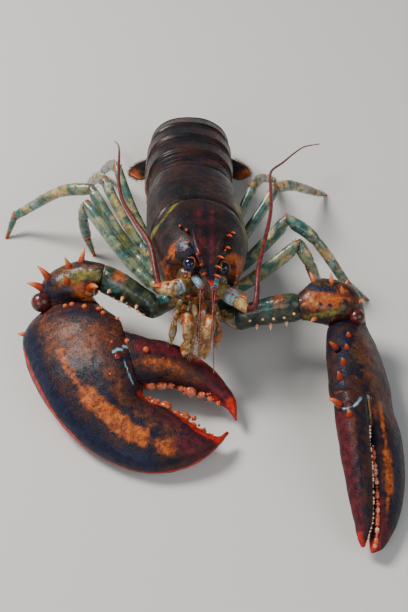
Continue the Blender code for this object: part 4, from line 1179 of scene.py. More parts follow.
@dataclass
class Underside:
    """The thorax below the carapace, from which the legs grow."""

    # Distance forward, upper half width, lower half width and depth.
    rows: tuple = ((10.0, 14.0, 6.5, 10.0), (24.0, 16.5, 8.0, 12.5), (60.0, 17.0, 8.0, 13.0), (90.0, 14.5, 7.0, 12.0))
    plate_length: float = 14.5

    def top(self, forward: Array) -> Array:
        """Height of the carapace's lower edge, less the gap."""
        known = np.array(Carapace().rows)
        return np.interp(forward, known[:, 0], known[:, 3]) - GAP * 1.15

    def side_points(self, forward: float, side: str) -> tuple[Array, Array]:
        """Top and bottom of the sloped side, in the body frame.

        Args:
            forward: the distance ahead of the rear edge.
            side: left or right.

        Returns:
            The two points.
        """
        known = np.array(self.rows)
        top_half, low_half, depth = (np.interp(forward, known[:, 0], known[:, k]) for k in (1, 2, 3))
        top = float(self.top(np.array([forward]))[0])
        return mirrored((top_half, -forward, top), side), mirrored((low_half, -forward, top - depth), side)

    def hip(self, forward: float, side: str, span: float = 4.0) -> tuple[Array, Array]:
        """Where a leg roots.

        Args:
            forward: the distance ahead of the rear edge.
            side: left or right.
            span: how far apart the side is read to find its slope.

        Returns:
            The place and the outward direction there, in the model frame.
        """
        top, low = self.side_points(forward, side)
        back = sum(self.side_points(forward - span, side))
        front = sum(self.side_points(forward + span, side))
        normal = unit(np.cross(front - back, low - top))
        if normal[0] * top[0] < 0:
            normal = -normal
        return from_body((top + low) / 2), body_direction(normal)

    def build(self, shop: Workshop) -> None:
        """Make the piece, with a raised plate between each pair of legs.

        Args:
            shop: makes the pieces.
        """
        forward = np.linspace(10.0, 90.0, 120)
        rings = []
        for place in forward:
            left_top, left_low = self.side_points(place, "left")
            right_top, right_low = self.side_points(place, "right")
            outline = [right_top, left_top, left_low, right_low]
            ring = []
            for a, b in zip(outline, [*outline[1:], outline[0]]):
                ring += [a + (b - a) * t for t in np.linspace(0, 1, 9)[:-1]]
            rings.append(ring)

        def seams(points: Array) -> Array:
            """The furrows between the plates."""
            return -0.5 * smooth(np.cos(to_body(points)[:, 1] * 2 * math.pi / self.plate_length), 0.5, 1.0)

        plates = grid_surface(from_body(np.array(rings))).raised(seams)
        masks = {Tone.BROWN: patches(9.0, 48, -0.5, 0.3, 0.95),
                 Tone.TEAL: patches(7.0, 49, 0.1, 0.6, 0.7)}
        shop.piece("thorax_keel", plates, "belly_shell", ["thorax"], masks)


@dataclass
class Abdomen:
    """Six shell segments with side plates, and the leaf-shaped swimmerets below them."""

    # Length of the segment before, its slope, plane slope, roll, half width, height.
    joints: tuple = ((0.0, 11.0, 11.0, 12.0, 24.3, 38.0), (9.0, 11.0, 12.0, 11.0, 26.5, 37.5),
                     (22.0, 13.0, 14.0, 9.0, 27.8, 37.0), (22.0, 15.0, 19.5, 7.0, 27.4, 35.0),
                     (21.0, 24.0, 38.0, 4.5, 26.0, 32.0), (20.0, 53.0, 66.0, 2.0, 22.8, 24.0),
                     (22.0, 86.0, 112.0, 0.0, 18.5, 13.0))
    belly: float = 0.80
    swimmeret: tuple = (0.0, 13.0, 11.0, 8.0, 6.0, 0.0)
    ring_count: int = 46
    hair_count: int = 70

    def planes(self) -> list[tuple[Array, Matrix, float, float]]:
        """The planes between the segments: top point, turn, half width and height."""
        made = []
        yaw = Matrix.Rotation(math.radians(ABDOMEN_YAW), 3, "Z")
        top = Vector((0.0, 0.0, 0.0))
        for length, slope, plane, roll, half, height in self.joints:
            slope = math.radians(slope)
            top = top + Vector((0.0, length * math.cos(slope), -length * math.sin(slope)))
            tilt = Matrix.Rotation(-math.radians(plane), 3, "X") @ Matrix.Rotation(math.radians(roll), 3, "Y")
            made.append((BODY_POINT + np.array(yaw @ top), (yaw @ tilt).to_quaternion(), half, height))
        return made

    def outline(self, half: float, height: float, pleuron: float) -> Array:
        """The whole outline of a segment in its own plane.

        Args:
            half: half the width.
            height: the height.
            pleuron: the depth of the side plate's lobe, as a share of the height.

        Returns:
            The points, across and up.
        """
        angle = np.radians(np.linspace(0, 90, 40))
        arch = np.stack((half * np.sin(angle) ** (2 / 2.3), -0.66 * height * (1 - np.cos(angle) ** (2 / 2.3))), axis=1)
        drop = self.belly * height + pleuron * height
        low = np.array(((half * 1.0, -0.66 * height), (half * 1.02, -0.5 * (0.66 * height + drop)),
                        (half * 1.0, -drop + 0.06 * height), (half * 0.965, -drop),
                        (half * 0.93, -drop + 0.04 * height), (half * 0.87, -self.belly * height - 0.02 * height),
                        (half * 0.45, -self.belly * height - 0.2), (0.0, -self.belly * height - 0.2)))
        side = spline(low[:6], 26)[1:]
        floor = spline(low[5:], 10)[1:]
        right = np.vstack((arch, side, floor))
        left = right[1:-1][::-1] * (-1, 1)
        return np.vstack((right, left))

    def segment(self, number: int) -> Surface:
        """One segment, its rear half raised as a plate with a lip.

        Args:
            number: the segment, from 0 at the front.

        Returns:
            The surface.
        """
        near_plane, far_plane = self.planes()[number:number + 2]
        rings = []
        for place in np.linspace(0, 1, self.ring_count):
            point = near_plane[0] * (1 - place) + far_plane[0] * place
            turn = np.array(near_plane[1].slerp(far_plane[1], place).to_matrix())
            half = near_plane[2] * (1 - place) + far_plane[2] * place
            height = near_plane[3] * (1 - place) + far_plane[3] * place
            swell = 0.966 + 0.037 * float(smooth(place, 0.30, 0.40)) + 0.010 * math.exp(-((place - 0.95) / 0.03) ** 2)
            lobe = 0.23 * math.sin(math.pi * place ** 1.25) ** 0.75 * (1.0 if number < 5 else 0.3)
            gap = GAP / 2 if place == 0 else -GAP / 2 if place == 1 else 0.0
            flat = self.outline(half * swell, height, lobe)
            rise = height * (swell - 1.0)
            local = np.stack((flat[:, 0], np.full(len(flat), gap), flat[:, 1] + rise), axis=1)
            rings.append(point + local @ turn.T)
        surface = grid_surface(np.array(rings))
        return surface.raised(bumps((0.10, 6.0, 20 + number), (0.05, 2.0, 30 + number)))

    def leaves(self, number: int) -> list[Surface]:
        """The pair of swimmerets below a segment.

        Args:
            number: the segment, from 0 at the front.

        Returns:
            The swimmerets, if the segment has any.
        """
        length = self.swimmeret[number]
        if not length:
            return []
        near_plane, far_plane = self.planes()[number:number + 2]
        centre = near_plane[0] * 0.55 + far_plane[0] * 0.45
        turn = np.array(near_plane[1].slerp(far_plane[1], 0.45).to_matrix())
        depth = self.belly * (near_plane[3] + far_plane[3]) / 2
        reach = (near_plane[2] + far_plane[2]) / 4
        made = []
        for sign in (1, -1):
            along = np.linspace(-0.25, 1.0, 18)
            width = np.interp(along, (-0.25, 0.2, 0.6, 0.9, 1.0), (0.5, 0.8, 1.0, 0.7, 0.15)) * 4.6
            places = np.stack((sign * (reach + 0.1 * reach * along), length * 0.55 * along,
                               -depth - length * 0.42 * along), axis=1)
            centres = centre + places @ turn.T
            across, up = turn @ np.array((1.0, 0, 0)), turn @ np.array((0, 0.6, 0.8))
            made.append(grid_surface(ring_grid(centres, across, up, width, 0.8, 0.8, 24, 2.0)))
        return made

    def masks(self, number: int) -> dict[Tone, Mask]:
        """Coloured zones: orange side plates with red points on wine.

        Args:
            number: the segment, from 0 at the front.

        Returns:
            The masks.
        """
        near_plane, far_plane = self.planes()[number:number + 2]
        turn = np.array(near_plane[1].slerp(far_plane[1], 0.5).to_matrix())
        middle = (near_plane[0] + far_plane[0]) / 2
        height = (near_plane[3] + far_plane[3]) / 2

        def low(points: Array) -> Array:
            """How far down the side plate a point lies."""
            return -((points - middle) @ turn)[:, 2] / height

        return {Tone.ORANGE: lambda p: 0.85 * smooth(low(p), 0.70, 0.86),
                Tone.RED: lambda p: smooth(low(p), 0.93, 1.0),
                Tone.BROWN: lambda p: 0.5 * smooth(low(p), 0.30, 0.6),
                Tone.WINE: patches(14.0, 15 + number, -0.1, 0.6, 0.5)}

    def build(self, shop: Workshop) -> None:
        """Make the six segments.

        Args:
            shop: makes the pieces.
        """
        for number in range(6):
            parts = [self.segment(number), *self.leaves(number)]
            shop.piece(f"abdomen_plate_{number + 1}", Surface.join(parts), "back_shell", [f"abdomen_{number + 1}"],
                       self.masks(number))


@dataclass
class TailFan:
    """Telson and uropods spread on the floor below the abdomen."""

    telson: tuple = ((0.0, 7.5, 2.4), (9.5, 8.4, 6.0), (13.0, 9.0, 4.2), (20.0, 9.8, 2.6), (28.0, 9.4, 2.4),
                     (32.5, 7.0, 2.0), (34.0, 4.0, 1.2))
    inner: tuple = ((0.0, 2.3, 2.3), (7.0, 2.5, 5.2), (13.0, 4.4, 3.6), (20.0, 6.4, 2.6), (28.0, 7.4, 2.4),
                    (34.0, 5.6, 2.0), (36.0, 3.0, 1.2))
    outer: tuple = ((0.0, 2.2, 2.3), (6.0, 2.5, 4.7), (13.0, 3.8, 3.6), (20.0, 5.8, 2.6), (28.0, 7.4, 2.4),
                    (34.0, 5.8, 2.0), (36.0, 3.2, 1.2))
    inner_heading: float = 19.0
    outer_heading: float = 39.0
    rows: int = 60
    hairs: int = 320

    def plate(self, base: Array, heading: float, stations: tuple) -> tuple[Surface, Array, Array]:
        """One plate with a middle rib.

        Args:
            base: the middle of its root.
            heading: its turn from straight ahead, in degrees.
            stations: distance from the root, half width and height.

        Returns:
            The plate, the points along its rim and the way out at each.
        """
        angle = math.radians(heading)
        along = np.array((math.sin(angle), -math.cos(angle), 0.0))
        across = np.array((math.cos(angle), math.sin(angle), 0.0))
        place = np.linspace(0, stations[-1][0], self.rows)
        half, height = table(stations, place).T
        outline = np.array(((-1, 0), (-0.99, 0.3), (-0.9, 0.6), (-0.7, 0.8), (-0.35, 0.9), (-0.14, 0.92), (0, 1.08),
                            (0.14, 0.92), (0.35, 0.9), (0.7, 0.8), (0.9, 0.6), (0.99, 0.3), (1, 0), (0.5, 0), (0, 0),
                            (-0.5, 0)))
        grid = base + place[:, None, None] * along + across * (half[:, None] * outline[:, 0])[..., None] \
            + UP * (height[:, None] * outline[:, 1])[..., None]
        rim = np.vstack((grid[self.rows // 2:, 2], grid[-1, 2:11], grid[self.rows // 2:, 10]))
        ways = unit(rim - (base + along * place[-1] * 0.55)) * (1, 1, 0.2)
        return grid_surface(grid), rim, ways

    def build(self, shop: Workshop) -> None:
        """Make the five plates, each with a fringe of hair.

        Args:
            shop: makes the pieces.
        """
        joint = Abdomen().planes()[-1][0]
        middle = np.array((joint[0], joint[1] - 1.0, 0.0))
        chance = np.random.default_rng(11)
        plates = [("telson", middle, 0.0, self.telson)]
        for side, sign in SIDES.items():
            inner, outer = middle + (sign * 10.6, -1.0, 0.0), middle + (sign * 15.9, 0.5, 0.0)
            plates.append((f"uropod_inner_{side}", inner, sign * self.inner_heading, self.inner))
            plates.append((f"uropod_outer_{side}", outer, sign * self.outer_heading, self.outer))
        for name, base, heading, stations in plates:
            surface, rim, ways = self.plate(base, heading, stations)
            angle = math.radians(heading)
            far = base + np.array((math.sin(angle), -math.cos(angle), 0)) * stations[-1][0]
            masks = {Tone.BROWN: times(near(base, 16.0), 0.6), Tone.ORANGE: times(near(far, 8.0, 0.8), 0.8),
                     Tone.RED: times(near(far, 3.2, 0.8), 0.8)}
            shop.piece(f"{name}_plate", surface, "back_shell", [name], masks)
            pick = chance.integers(0, len(rim), self.hairs)
            roots = rim[pick] + (0, 0, 0.2) + chance.normal(0, 0.25, (self.hairs, 3)) * (1, 1, 0.4)
            axis = base + (far - base) * np.linspace(0, 1, 40)[:, None]
            hairs = strands(roots, ways[pick] + (0, 0, 0.15), 2.6, 0.09, chance, axis, 0.2, 0.05)
            shop.piece(f"{name}_fringe", hairs, "hair")


@dataclass
class Head:
    """Face plate, eyes, feelers and mouth legs."""

    face_back: float = 93.0
    face_front: float = 101.0
    face_half: float = 14.5
    face_top: float = -15.0
    face_bottom: float = -33.0
    ridge_half: float = 3.2
    ridge_top: float = -8.6
    ridge_front: float = 103.0
    # Pixel across and down, radius and height.
    studs: tuple = (
        (186, 276, 0.9, 1.0), (196, 281, 0.8, 0.8), (219, 281, 0.8, 0.8), (227, 284, 0.9, 1.0),
        (192.7, 293, 2.0, 0.8), (200, 297, 1.2, 0.6), (216, 297, 1.3, 0.7), (222, 300, 1.8, 0.8),
        (190, 301, 1.3, 0.7), (230, 302, 1.4, 0.7))
    eye_centre: Point = (9.6, -100.4, -9.6)
    cornea: float = 3.9
    antenna_routes: dict = field(default_factory=lambda: {
        "right": ((-25, -15, 61), (-27, -4, 63), (-31, 17, 64), (-41, 40, 61), (-49, 62, 57), (-52, 80, 55),
                  (-53, 98, 53), (-54, 118, 47), (-56, 138, 36), (-59, 158, 22), (-62, 176, 9)),
        "left": ((24, -27.5, 57), (27.5, -27, 58), (29, -20, 60), (31, 2, 61), (36, 30, 58), (40, 56, 55), (41, 84, 50),
                 (42.5, 103, 44), (51, 120, 37), (59, 136, 31), (67, 149, 26), (78, 157, 22))})
    antenna_roots: dict = field(default_factory=lambda: {
        "right": ((-11, -15, 60), (-18, -17, 62), (-25, -15, 61)),
        "left": ((13, -17, 55), (19, -23, 58), (24, -27.5, 57))})
    antennule_tips: dict = field(default_factory=lambda: {
        "right": ((-3, -68, 63), (-6, -62, 60)), "left": ((5, -78, 63), (3, -62, 64))})
    antenna_radius: float = 1.9
    mouth_hairs: int = 420
    palp_hairs: int = 160

    def build_face(self, shop: Workshop) -> None:
        """The plate below the rostrum, knobbly and cream to orange.

        Args:
            shop: makes the pieces.
        """
        middle = (self.face_top + self.face_bottom) / 2
        half = (self.face_top - self.face_bottom) / 2
        place = np.linspace(0, 1, 34)
        y = -self.face_back - GAP - (self.face_front - self.face_back - GAP) * place
        share = 1 - 0.22 * smooth(place, 0.6, 1.0)
        centres = np.stack((0 * y, y, np.full(34, middle)), axis=1)
        grid = ring_grid(centres, (1.0, 0, 0), UP, self.face_half * share, half * share, half * share, 90, 3.0)
        plate = grid_surface(from_body(grid))
        tall = (self.ridge_top - middle) / 2
        y = -self.face_back - GAP - (self.ridge_front - self.face_back - GAP) * place
        share = 1 - 0.25 * smooth(place, 0.7, 1.0)
        centres = np.stack((0 * y, y, np.full(34, (self.ridge_top + middle) / 2)), axis=1)
        grid = ring_grid(centres, (1.0, 0, 0), UP, self.ridge_half * share, tall * share, tall, 60, 3.2)
        ridge = grid_surface(from_body(grid))
        lumps = Surface.join([plate, ridge]).raised(bumps((0.8, 5.0, 41), (0.45, 1.8, 42)))
        lumps = Surface.join([lumps, *lumps.beads(self.studs, 0.5)])
        masks = {Tone.BROWN: patches(5.0, 44, 0.0, 0.6, 0.7),
                 Tone.ORANGE: either(patches(6.0, 43, 0.2, 0.7, 0.8),
                                     stroke(0.8, 3.0, (214, 299), (220, 303), soft=0.8)),
                 Tone.OLIVE: patches(4.0, 46, 0.1, 0.6, 0.8),
                 Tone.BLUE: either(patches(4.0, 45, 0.5, 0.9, 0.8),
                                   stroke(1.0, 2.2, (189, 293), (195, 291), soft=0.6),
                                   stroke(1.0, 1.6, (185, 286), (187, 291), soft=0.6),
                                   stroke(1.0, 1.8, (224, 292), (228, 289), soft=0.6)),
                 Tone.PALE: either(stroke(1.0, 2.4, (198, 297), (202, 300), soft=0.7),
                                   stroke(1.0, 2.0, (188, 300), (193, 302), soft=0.7),
                                   stroke(1.0, 2.2, (218, 305), (230, 303), soft=0.7))}
        shop.piece("face_plate", lumps, "face_shell", ["face"], masks)

    def build_eyes(self, shop: Workshop) -> None:
        """Dark eyes, each held by a stalk and a cup that leaves its front free.

        Args:
            shop: makes the pieces.
        """
        for side in SIDES:
            centre = from_body(mirrored(self.eye_centre, side))
            root = from_body(mirrored((self.ridge_half + GAP, -98.2, -13.0), side))
            way = unit(centre - root)
            ball = knob(centre, (self.cornea * 0.96, self.cornea), way, 0.0, 40, 48)
            rows = 30
            place = np.linspace(0, 1, rows)
            reach = float(np.linalg.norm(centre - root))
            centres = root + way * (place * (reach + 0.4))[:, None]
            cup = self.cornea + 0.35 - 1.5 * (1 - smooth(place, 0.45, 0.9))
            radius = np.interp(place, (0.0, 0.25, 0.5), (2.2, 2.3, 2.7))
            radius = np.where(place > 0.5, np.maximum(cup, radius), radius)
            radius[-1] = self.cornea * 0.7
            out = unit(np.cross(way, body_direction((0, 0, 1))))
            lift = np.cross(out, way)
            stalk = grid_surface(ring_grid(centres, out, lift, radius, radius, radius, 40, 2.0))
            stalk = stalk.raised(bumps((0.12, 1.6, 47)))
            above = beyond(centre, body_direction((0, 0.3, 1.0)), 0.5, 3.0)
            shop.piece(f"eye_ball_{side}", ball, "eye", [f"eye_{side}"],
                       {Tone.ORANGE: beyond(centre, body_direction((0, 0.9, 1.0)), 2.9, 3.5)})
            shop.piece(f"eye_stalk_{side}", stalk, "belly_shell", (),
                       {Tone.BROWN: lambda p: np.full(len(p), 0.7), Tone.ORANGE: above,
                        Tone.INK_AND_SHADE: times(beyond(centre, -body_direction((0, 0.3, 1.0)), -0.6, 1.2), 0.85)})

    def build_antennae(self, shop: Workshop) -> None:
        """Stout three-part bases with a side scale, and the long ringed whips.

        Args:
            shop: makes the pieces.
        """
        for side in SIDES:
            _, middle, end = (np.array(point, float) for point in self.antenna_roots[side])
            route = spline(self.antenna_routes[side], 700)
            anchor = from_body(mirrored((9.0, -self.face_front - GAP / 2, -22.0), side))
            fine = spline((anchor, middle, end), 12)
            end_normal = bisector(fine[-2], end, route[12])
            stations = ((0.0, 3.6, 3.8, 3.8), (0.2, 4.3, 4.3, 4.3), (0.30, 3.5, 3.5, 3.5), (0.36, 4.3, 4.3, 4.3),
                        (0.58, 4.1, 4.1, 4.1), (0.64, 3.3, 3.3, 3.3), (0.7, 3.7, 3.7, 3.7), (0.92, 2.9, 2.9, 2.9),
                        (1.0, 2.5, 2.5, 2.5))
            grid = limb(np.array((anchor, middle, end)), stations, UP, 70, 36, body_direction((0, -1, 0)), end_normal)
            base = grid_surface(grid).raised(bumps((0.12, 2.2, 51)))
            blue = along_path((fine[3], fine[4]), 4.6, 0.2)
            masks = {Tone.OLIVE: times(near(fine[1], 6.0), 0.6), Tone.ORANGE: times(near(end, 5.5, 0.9), 0.8),
                     Tone.RED: times(near(end, 2.0), 0.7), Tone.BLUE: times(blue, 0.9),
                     Tone.PALE: times(near(fine[7], 5.5, 0.9), 0.8)}
            parts = [base, *self.scale_leaf(side, fine)]
            shop.piece(f"antenna_base_shell_{side}", Surface.join(parts), "belly_shell",
                       [f"antenna_base_{side}"], masks)
            place = np.linspace(0, 1, len(route))
            radius = self.antenna_radius * (1 - 0.82 * place ** 0.8)
            radius = radius * (1 + 0.07 * np.cos(2 * math.pi * place * 175))
            ways = tangents(route)
            ways[0] = end_normal
            route[0] = route[0] + end_normal * GAP / 2
            across = unit(np.cross(ways, UP))
            whip = grid_surface(ring_grid(route, across, np.cross(across, ways), radius, radius, radius, 10, 2.0))
            shop.piece(f"antenna_whip_{side}", whip, "feeler_shell", [f"antenna_{side}"])
            self.build_antennule(shop, side)

    def scale_leaf(self, side: str, line: Array) -> list[Surface]:
        """The pointed side scale and the small spines at the root of an antenna.

        Args:
            side: left or right.
            line: points along the middle of the base.

        Returns:
            The scale and the spines.
        """
        way = unit(line[8] - line[1])
        out = mirrored((1.0, 0.15, -0.1), side)
        place = np.linspace(0, 1, 26)
        centres = line[1] + out * 4.2 + way * (place * 13.5)[:, None] + UP * (1.5 + 1.2 * place)[:, None]
        width = 3.0 * np.sin(math.pi * (0.12 + 0.86 * place)) ** 0.8
        across = unit(out - way * (out @ way))
        up = np.cross(across, way)
        leaf = grid_surface(ring_grid(centres, across, up, width, 0.25 + 0.2 * width, 0.25 + 0.12 * width, 22, 2.0))
        leaf.tip = np.clip(((leaf.points - line[1]) @ way - 11.0) / 5.0, 0, 0.7)
        spikes = [thorn(line[k] + UP * 2.8 + out * side_step, line[k] + way * 3.2 + UP * 5.2 + out * side_step, 0.75)
                  for k, side_step in ((2, 1.0), (4, -1.2), (5, 1.8))]
        return [leaf, *spikes]

    def build_antennule(self, shop: Workshop, side: str) -> None:
        """Make a three-part base and its two thin whips.

        Args:
            shop: makes the pieces.
            side: left or right.
        """
        base = from_body(mirrored((self.ridge_half + 2.8, -self.face_front - GAP / 2, -16.5), side))
        end = from_body(mirrored((2.9, -114.5, -16.0), side)) + (1.2, 0.0, 0.0)
        stations = ((0.0, 2.0, 2.0, 2.0), (0.25, 2.3, 2.3, 2.3), (0.32, 1.8, 1.8, 1.8), (0.4, 2.2, 2.2, 2.2),
                    (0.62, 2.1, 2.1, 2.1), (0.68, 1.6, 1.6, 1.6), (0.75, 2.0, 2.0, 2.0), (1.0, 1.7, 1.7, 1.7))
        parts = [grid_surface(limb(np.array((base, (base + end) / 2, end)), stations, UP, 50, 24,
                                   body_direction((0, -1, 0))))]
        across = body_direction((1, 0, 0))
        for offset, tip in zip((-0.95, 0.95), self.antennule_tips[side]):
            start = end + across * offset - unit(end - base) * 1.5
            place = np.linspace(0, 1, 240)
            line = start + (np.array(tip, float) - start) * place[:, None]
            line = line + UP * (2.0 * np.sin(math.pi * place))[:, None]
            radius = 0.46 * (1 - 0.5 * place) * (1 + 0.16 * np.cos(2 * math.pi * place * 48))
            ways = tangents(line)
            beside = unit(np.cross(ways, UP))
            whip = ring_grid(line, beside, np.cross(beside, ways), radius, radius, radius, 8, 2.0)
            parts.append(grid_surface(whip))
        masks = {Tone.BLUE: times(near((base + end) / 2, 6.0), 0.7)}
        shop.piece(f"antennule_whips_{side}", Surface.join(parts), "feeler_shell", [f"antennule_{side}"], masks)

    def build_mouth_legs(self, shop: Workshop) -> None:
        """The outer mouth legs, toothed and fringed along their inner edges.

        Args:
            shop: makes the pieces.
        """
        chance = np.random.default_rng(5)
        for side in SIDES:
            route = from_body([mirrored(point, side) for point in (
                (6.0, -90.0 - GAP / 2, -47.0), (6.4, -103.0, -44.0), (6.2, -114.0, -38.0), (5.4, -121.0, -46.0),
                (6.0, -123.5, -56.0))])
            stations = ((0.0, 3.4, 4.4, 4.4), (0.22, 3.9, 4.7, 4.7), (0.30, 3.2, 3.9, 3.9), (0.36, 3.8, 4.5, 4.5),
                        (0.52, 3.4, 3.8, 3.8), (0.57, 2.8, 3.1, 3.1), (0.62, 3.2, 3.5, 3.5), (0.74, 2.9, 3.1, 3.1),
                        (0.79, 2.0, 2.0, 2.0), (0.84, 2.9, 2.0, 1.8), (0.91, 3.0, 1.6, 1.4), (1.0, 0.5, 0.5, 0.4))
            grid = limb(route, stations, body_direction((0, 0, 1)), 110, 34, body_direction((0, -1, 0)))
            body = grid_surface(grid).raised(bumps((0.25, 3.0, 61), (0.1, 1.0, 62)))
            inward = -SIDES[side] * body_direction((1, 0, 0))
            line = spline(route, 60)
            teeth = [thorn(line[k] + inward * 2.0, line[k] + inward * 4.2, 0.5) for k in range(10, 50, 3)]
            upper, lower = near(line[16], 17.0, 0.3), along_path(line[36:], 4.0, 0.5)
            self.build_palps(shop, side, chance)
            masks = {Tone.BROWN: both(lower, patches(4.0, 65, -0.3, 0.3)),
                     Tone.ORANGE: either(times(upper, 0.9), both(lower, patches(3.0, 66, 0.2, 0.5))),
                     Tone.OLIVE: times(along_path(line[44:], 4.0, 0.8), 0.5),
                     Tone.BLUE: either(times(near(line[34], 3.0), 0.8), times(near(line[42], 2.2), 0.7)),
                     Tone.PALE: both(either(times(upper, 0.8), times(lower, 0.7)), patches(3.2, 64, 0.0, 0.45))}
            shop.piece(f"mouth_leg_{side}", Surface.join([body, *teeth]), "belly_shell", [f"maxilliped_{side}"],
                       masks)
            pick = chance.integers(8, 58, self.mouth_hairs)
            roots = line[pick] + inward * 2.2 + chance.normal(0, 0.9, (self.mouth_hairs, 3))
            hairs = strands(roots, inward * 0.7 - UP * 0.6, 4.6, 0.14, chance, line)
            shop.piece(f"mouth_fringe_{side}", hairs, "hair")

    def build_palps(self, shop: Workshop, side: str, chance: Chance) -> None:
        """Make the smaller mouth parts of one side, each with a leaf-like tip.

        Args:
            shop: makes the pieces.
            side: left or right.
            chance: the source of random numbers.
        """
        routes = (((1.9, -99.5, -33.0), (2.4, -110.0, -38.0), (2.0, -114.0, -48.0)),
                  ((3.6, -99.5, -36.0), (4.2, -106.0, -44.0), (3.0, -110.0, -54.0)),
                  ((10.0, -99.5, -36.0), (12.6, -110.0, -42.0), (12.6, -114.0, -54.0)))
        stations = ((0.0, 1.6, 1.7, 1.7), (0.4, 1.7, 1.9, 1.9), (0.48, 1.2, 1.3, 1.3), (0.56, 1.7, 1.6, 1.5),
                    (0.8, 2.3, 1.2, 1.0), (1.0, 0.4, 0.4, 0.3))
        parts, lines = [], []
        for route in routes:
            corners = from_body([mirrored(point, side) for point in route])
            parts.append(grid_surface(limb(corners, stations, body_direction((0, 0, 1)), 50, 22,
                                           body_direction((0, -1, 0)))).raised(bumps((0.15, 2.0, 67))))
            lines.append(spline(corners, 40))
        masks = {Tone.BLUE: patches(3.0, 68, 0.25, 0.6, 0.8),
                 Tone.BROWN: patches(2.5, 64, -0.2, 0.4, 0.7),
                 Tone.ORANGE: patches(3.5, 69, -0.2, 0.4, 0.95),
                 Tone.PALE: patches(3.0, 70, 0.2, 0.6, 0.8)}
        shop.piece(f"mouth_palps_{side}", Surface.join(parts), "belly_shell", (), masks)
        for number, line in enumerate(lines):
            pick = chance.integers(14, 39, self.palp_hairs)
            roots = line[pick] + chance.normal(0, 0.8, (self.palp_hairs, 3))
            hairs = strands(roots, body_direction((0, -0.7, -0.7)), 3.0, 0.1, chance, line)
            shop.piece(f"palp_fringe_{number + 1}_{side}", hairs, "hair")

    def build(self, shop: Workshop) -> None:
        """Make everything on the head.

        Args:
            shop: makes the pieces.
        """
        self.build_face(shop)
        self.build_eyes(shop)
        self.build_antennae(shop)
        self.build_mouth_legs(shop)


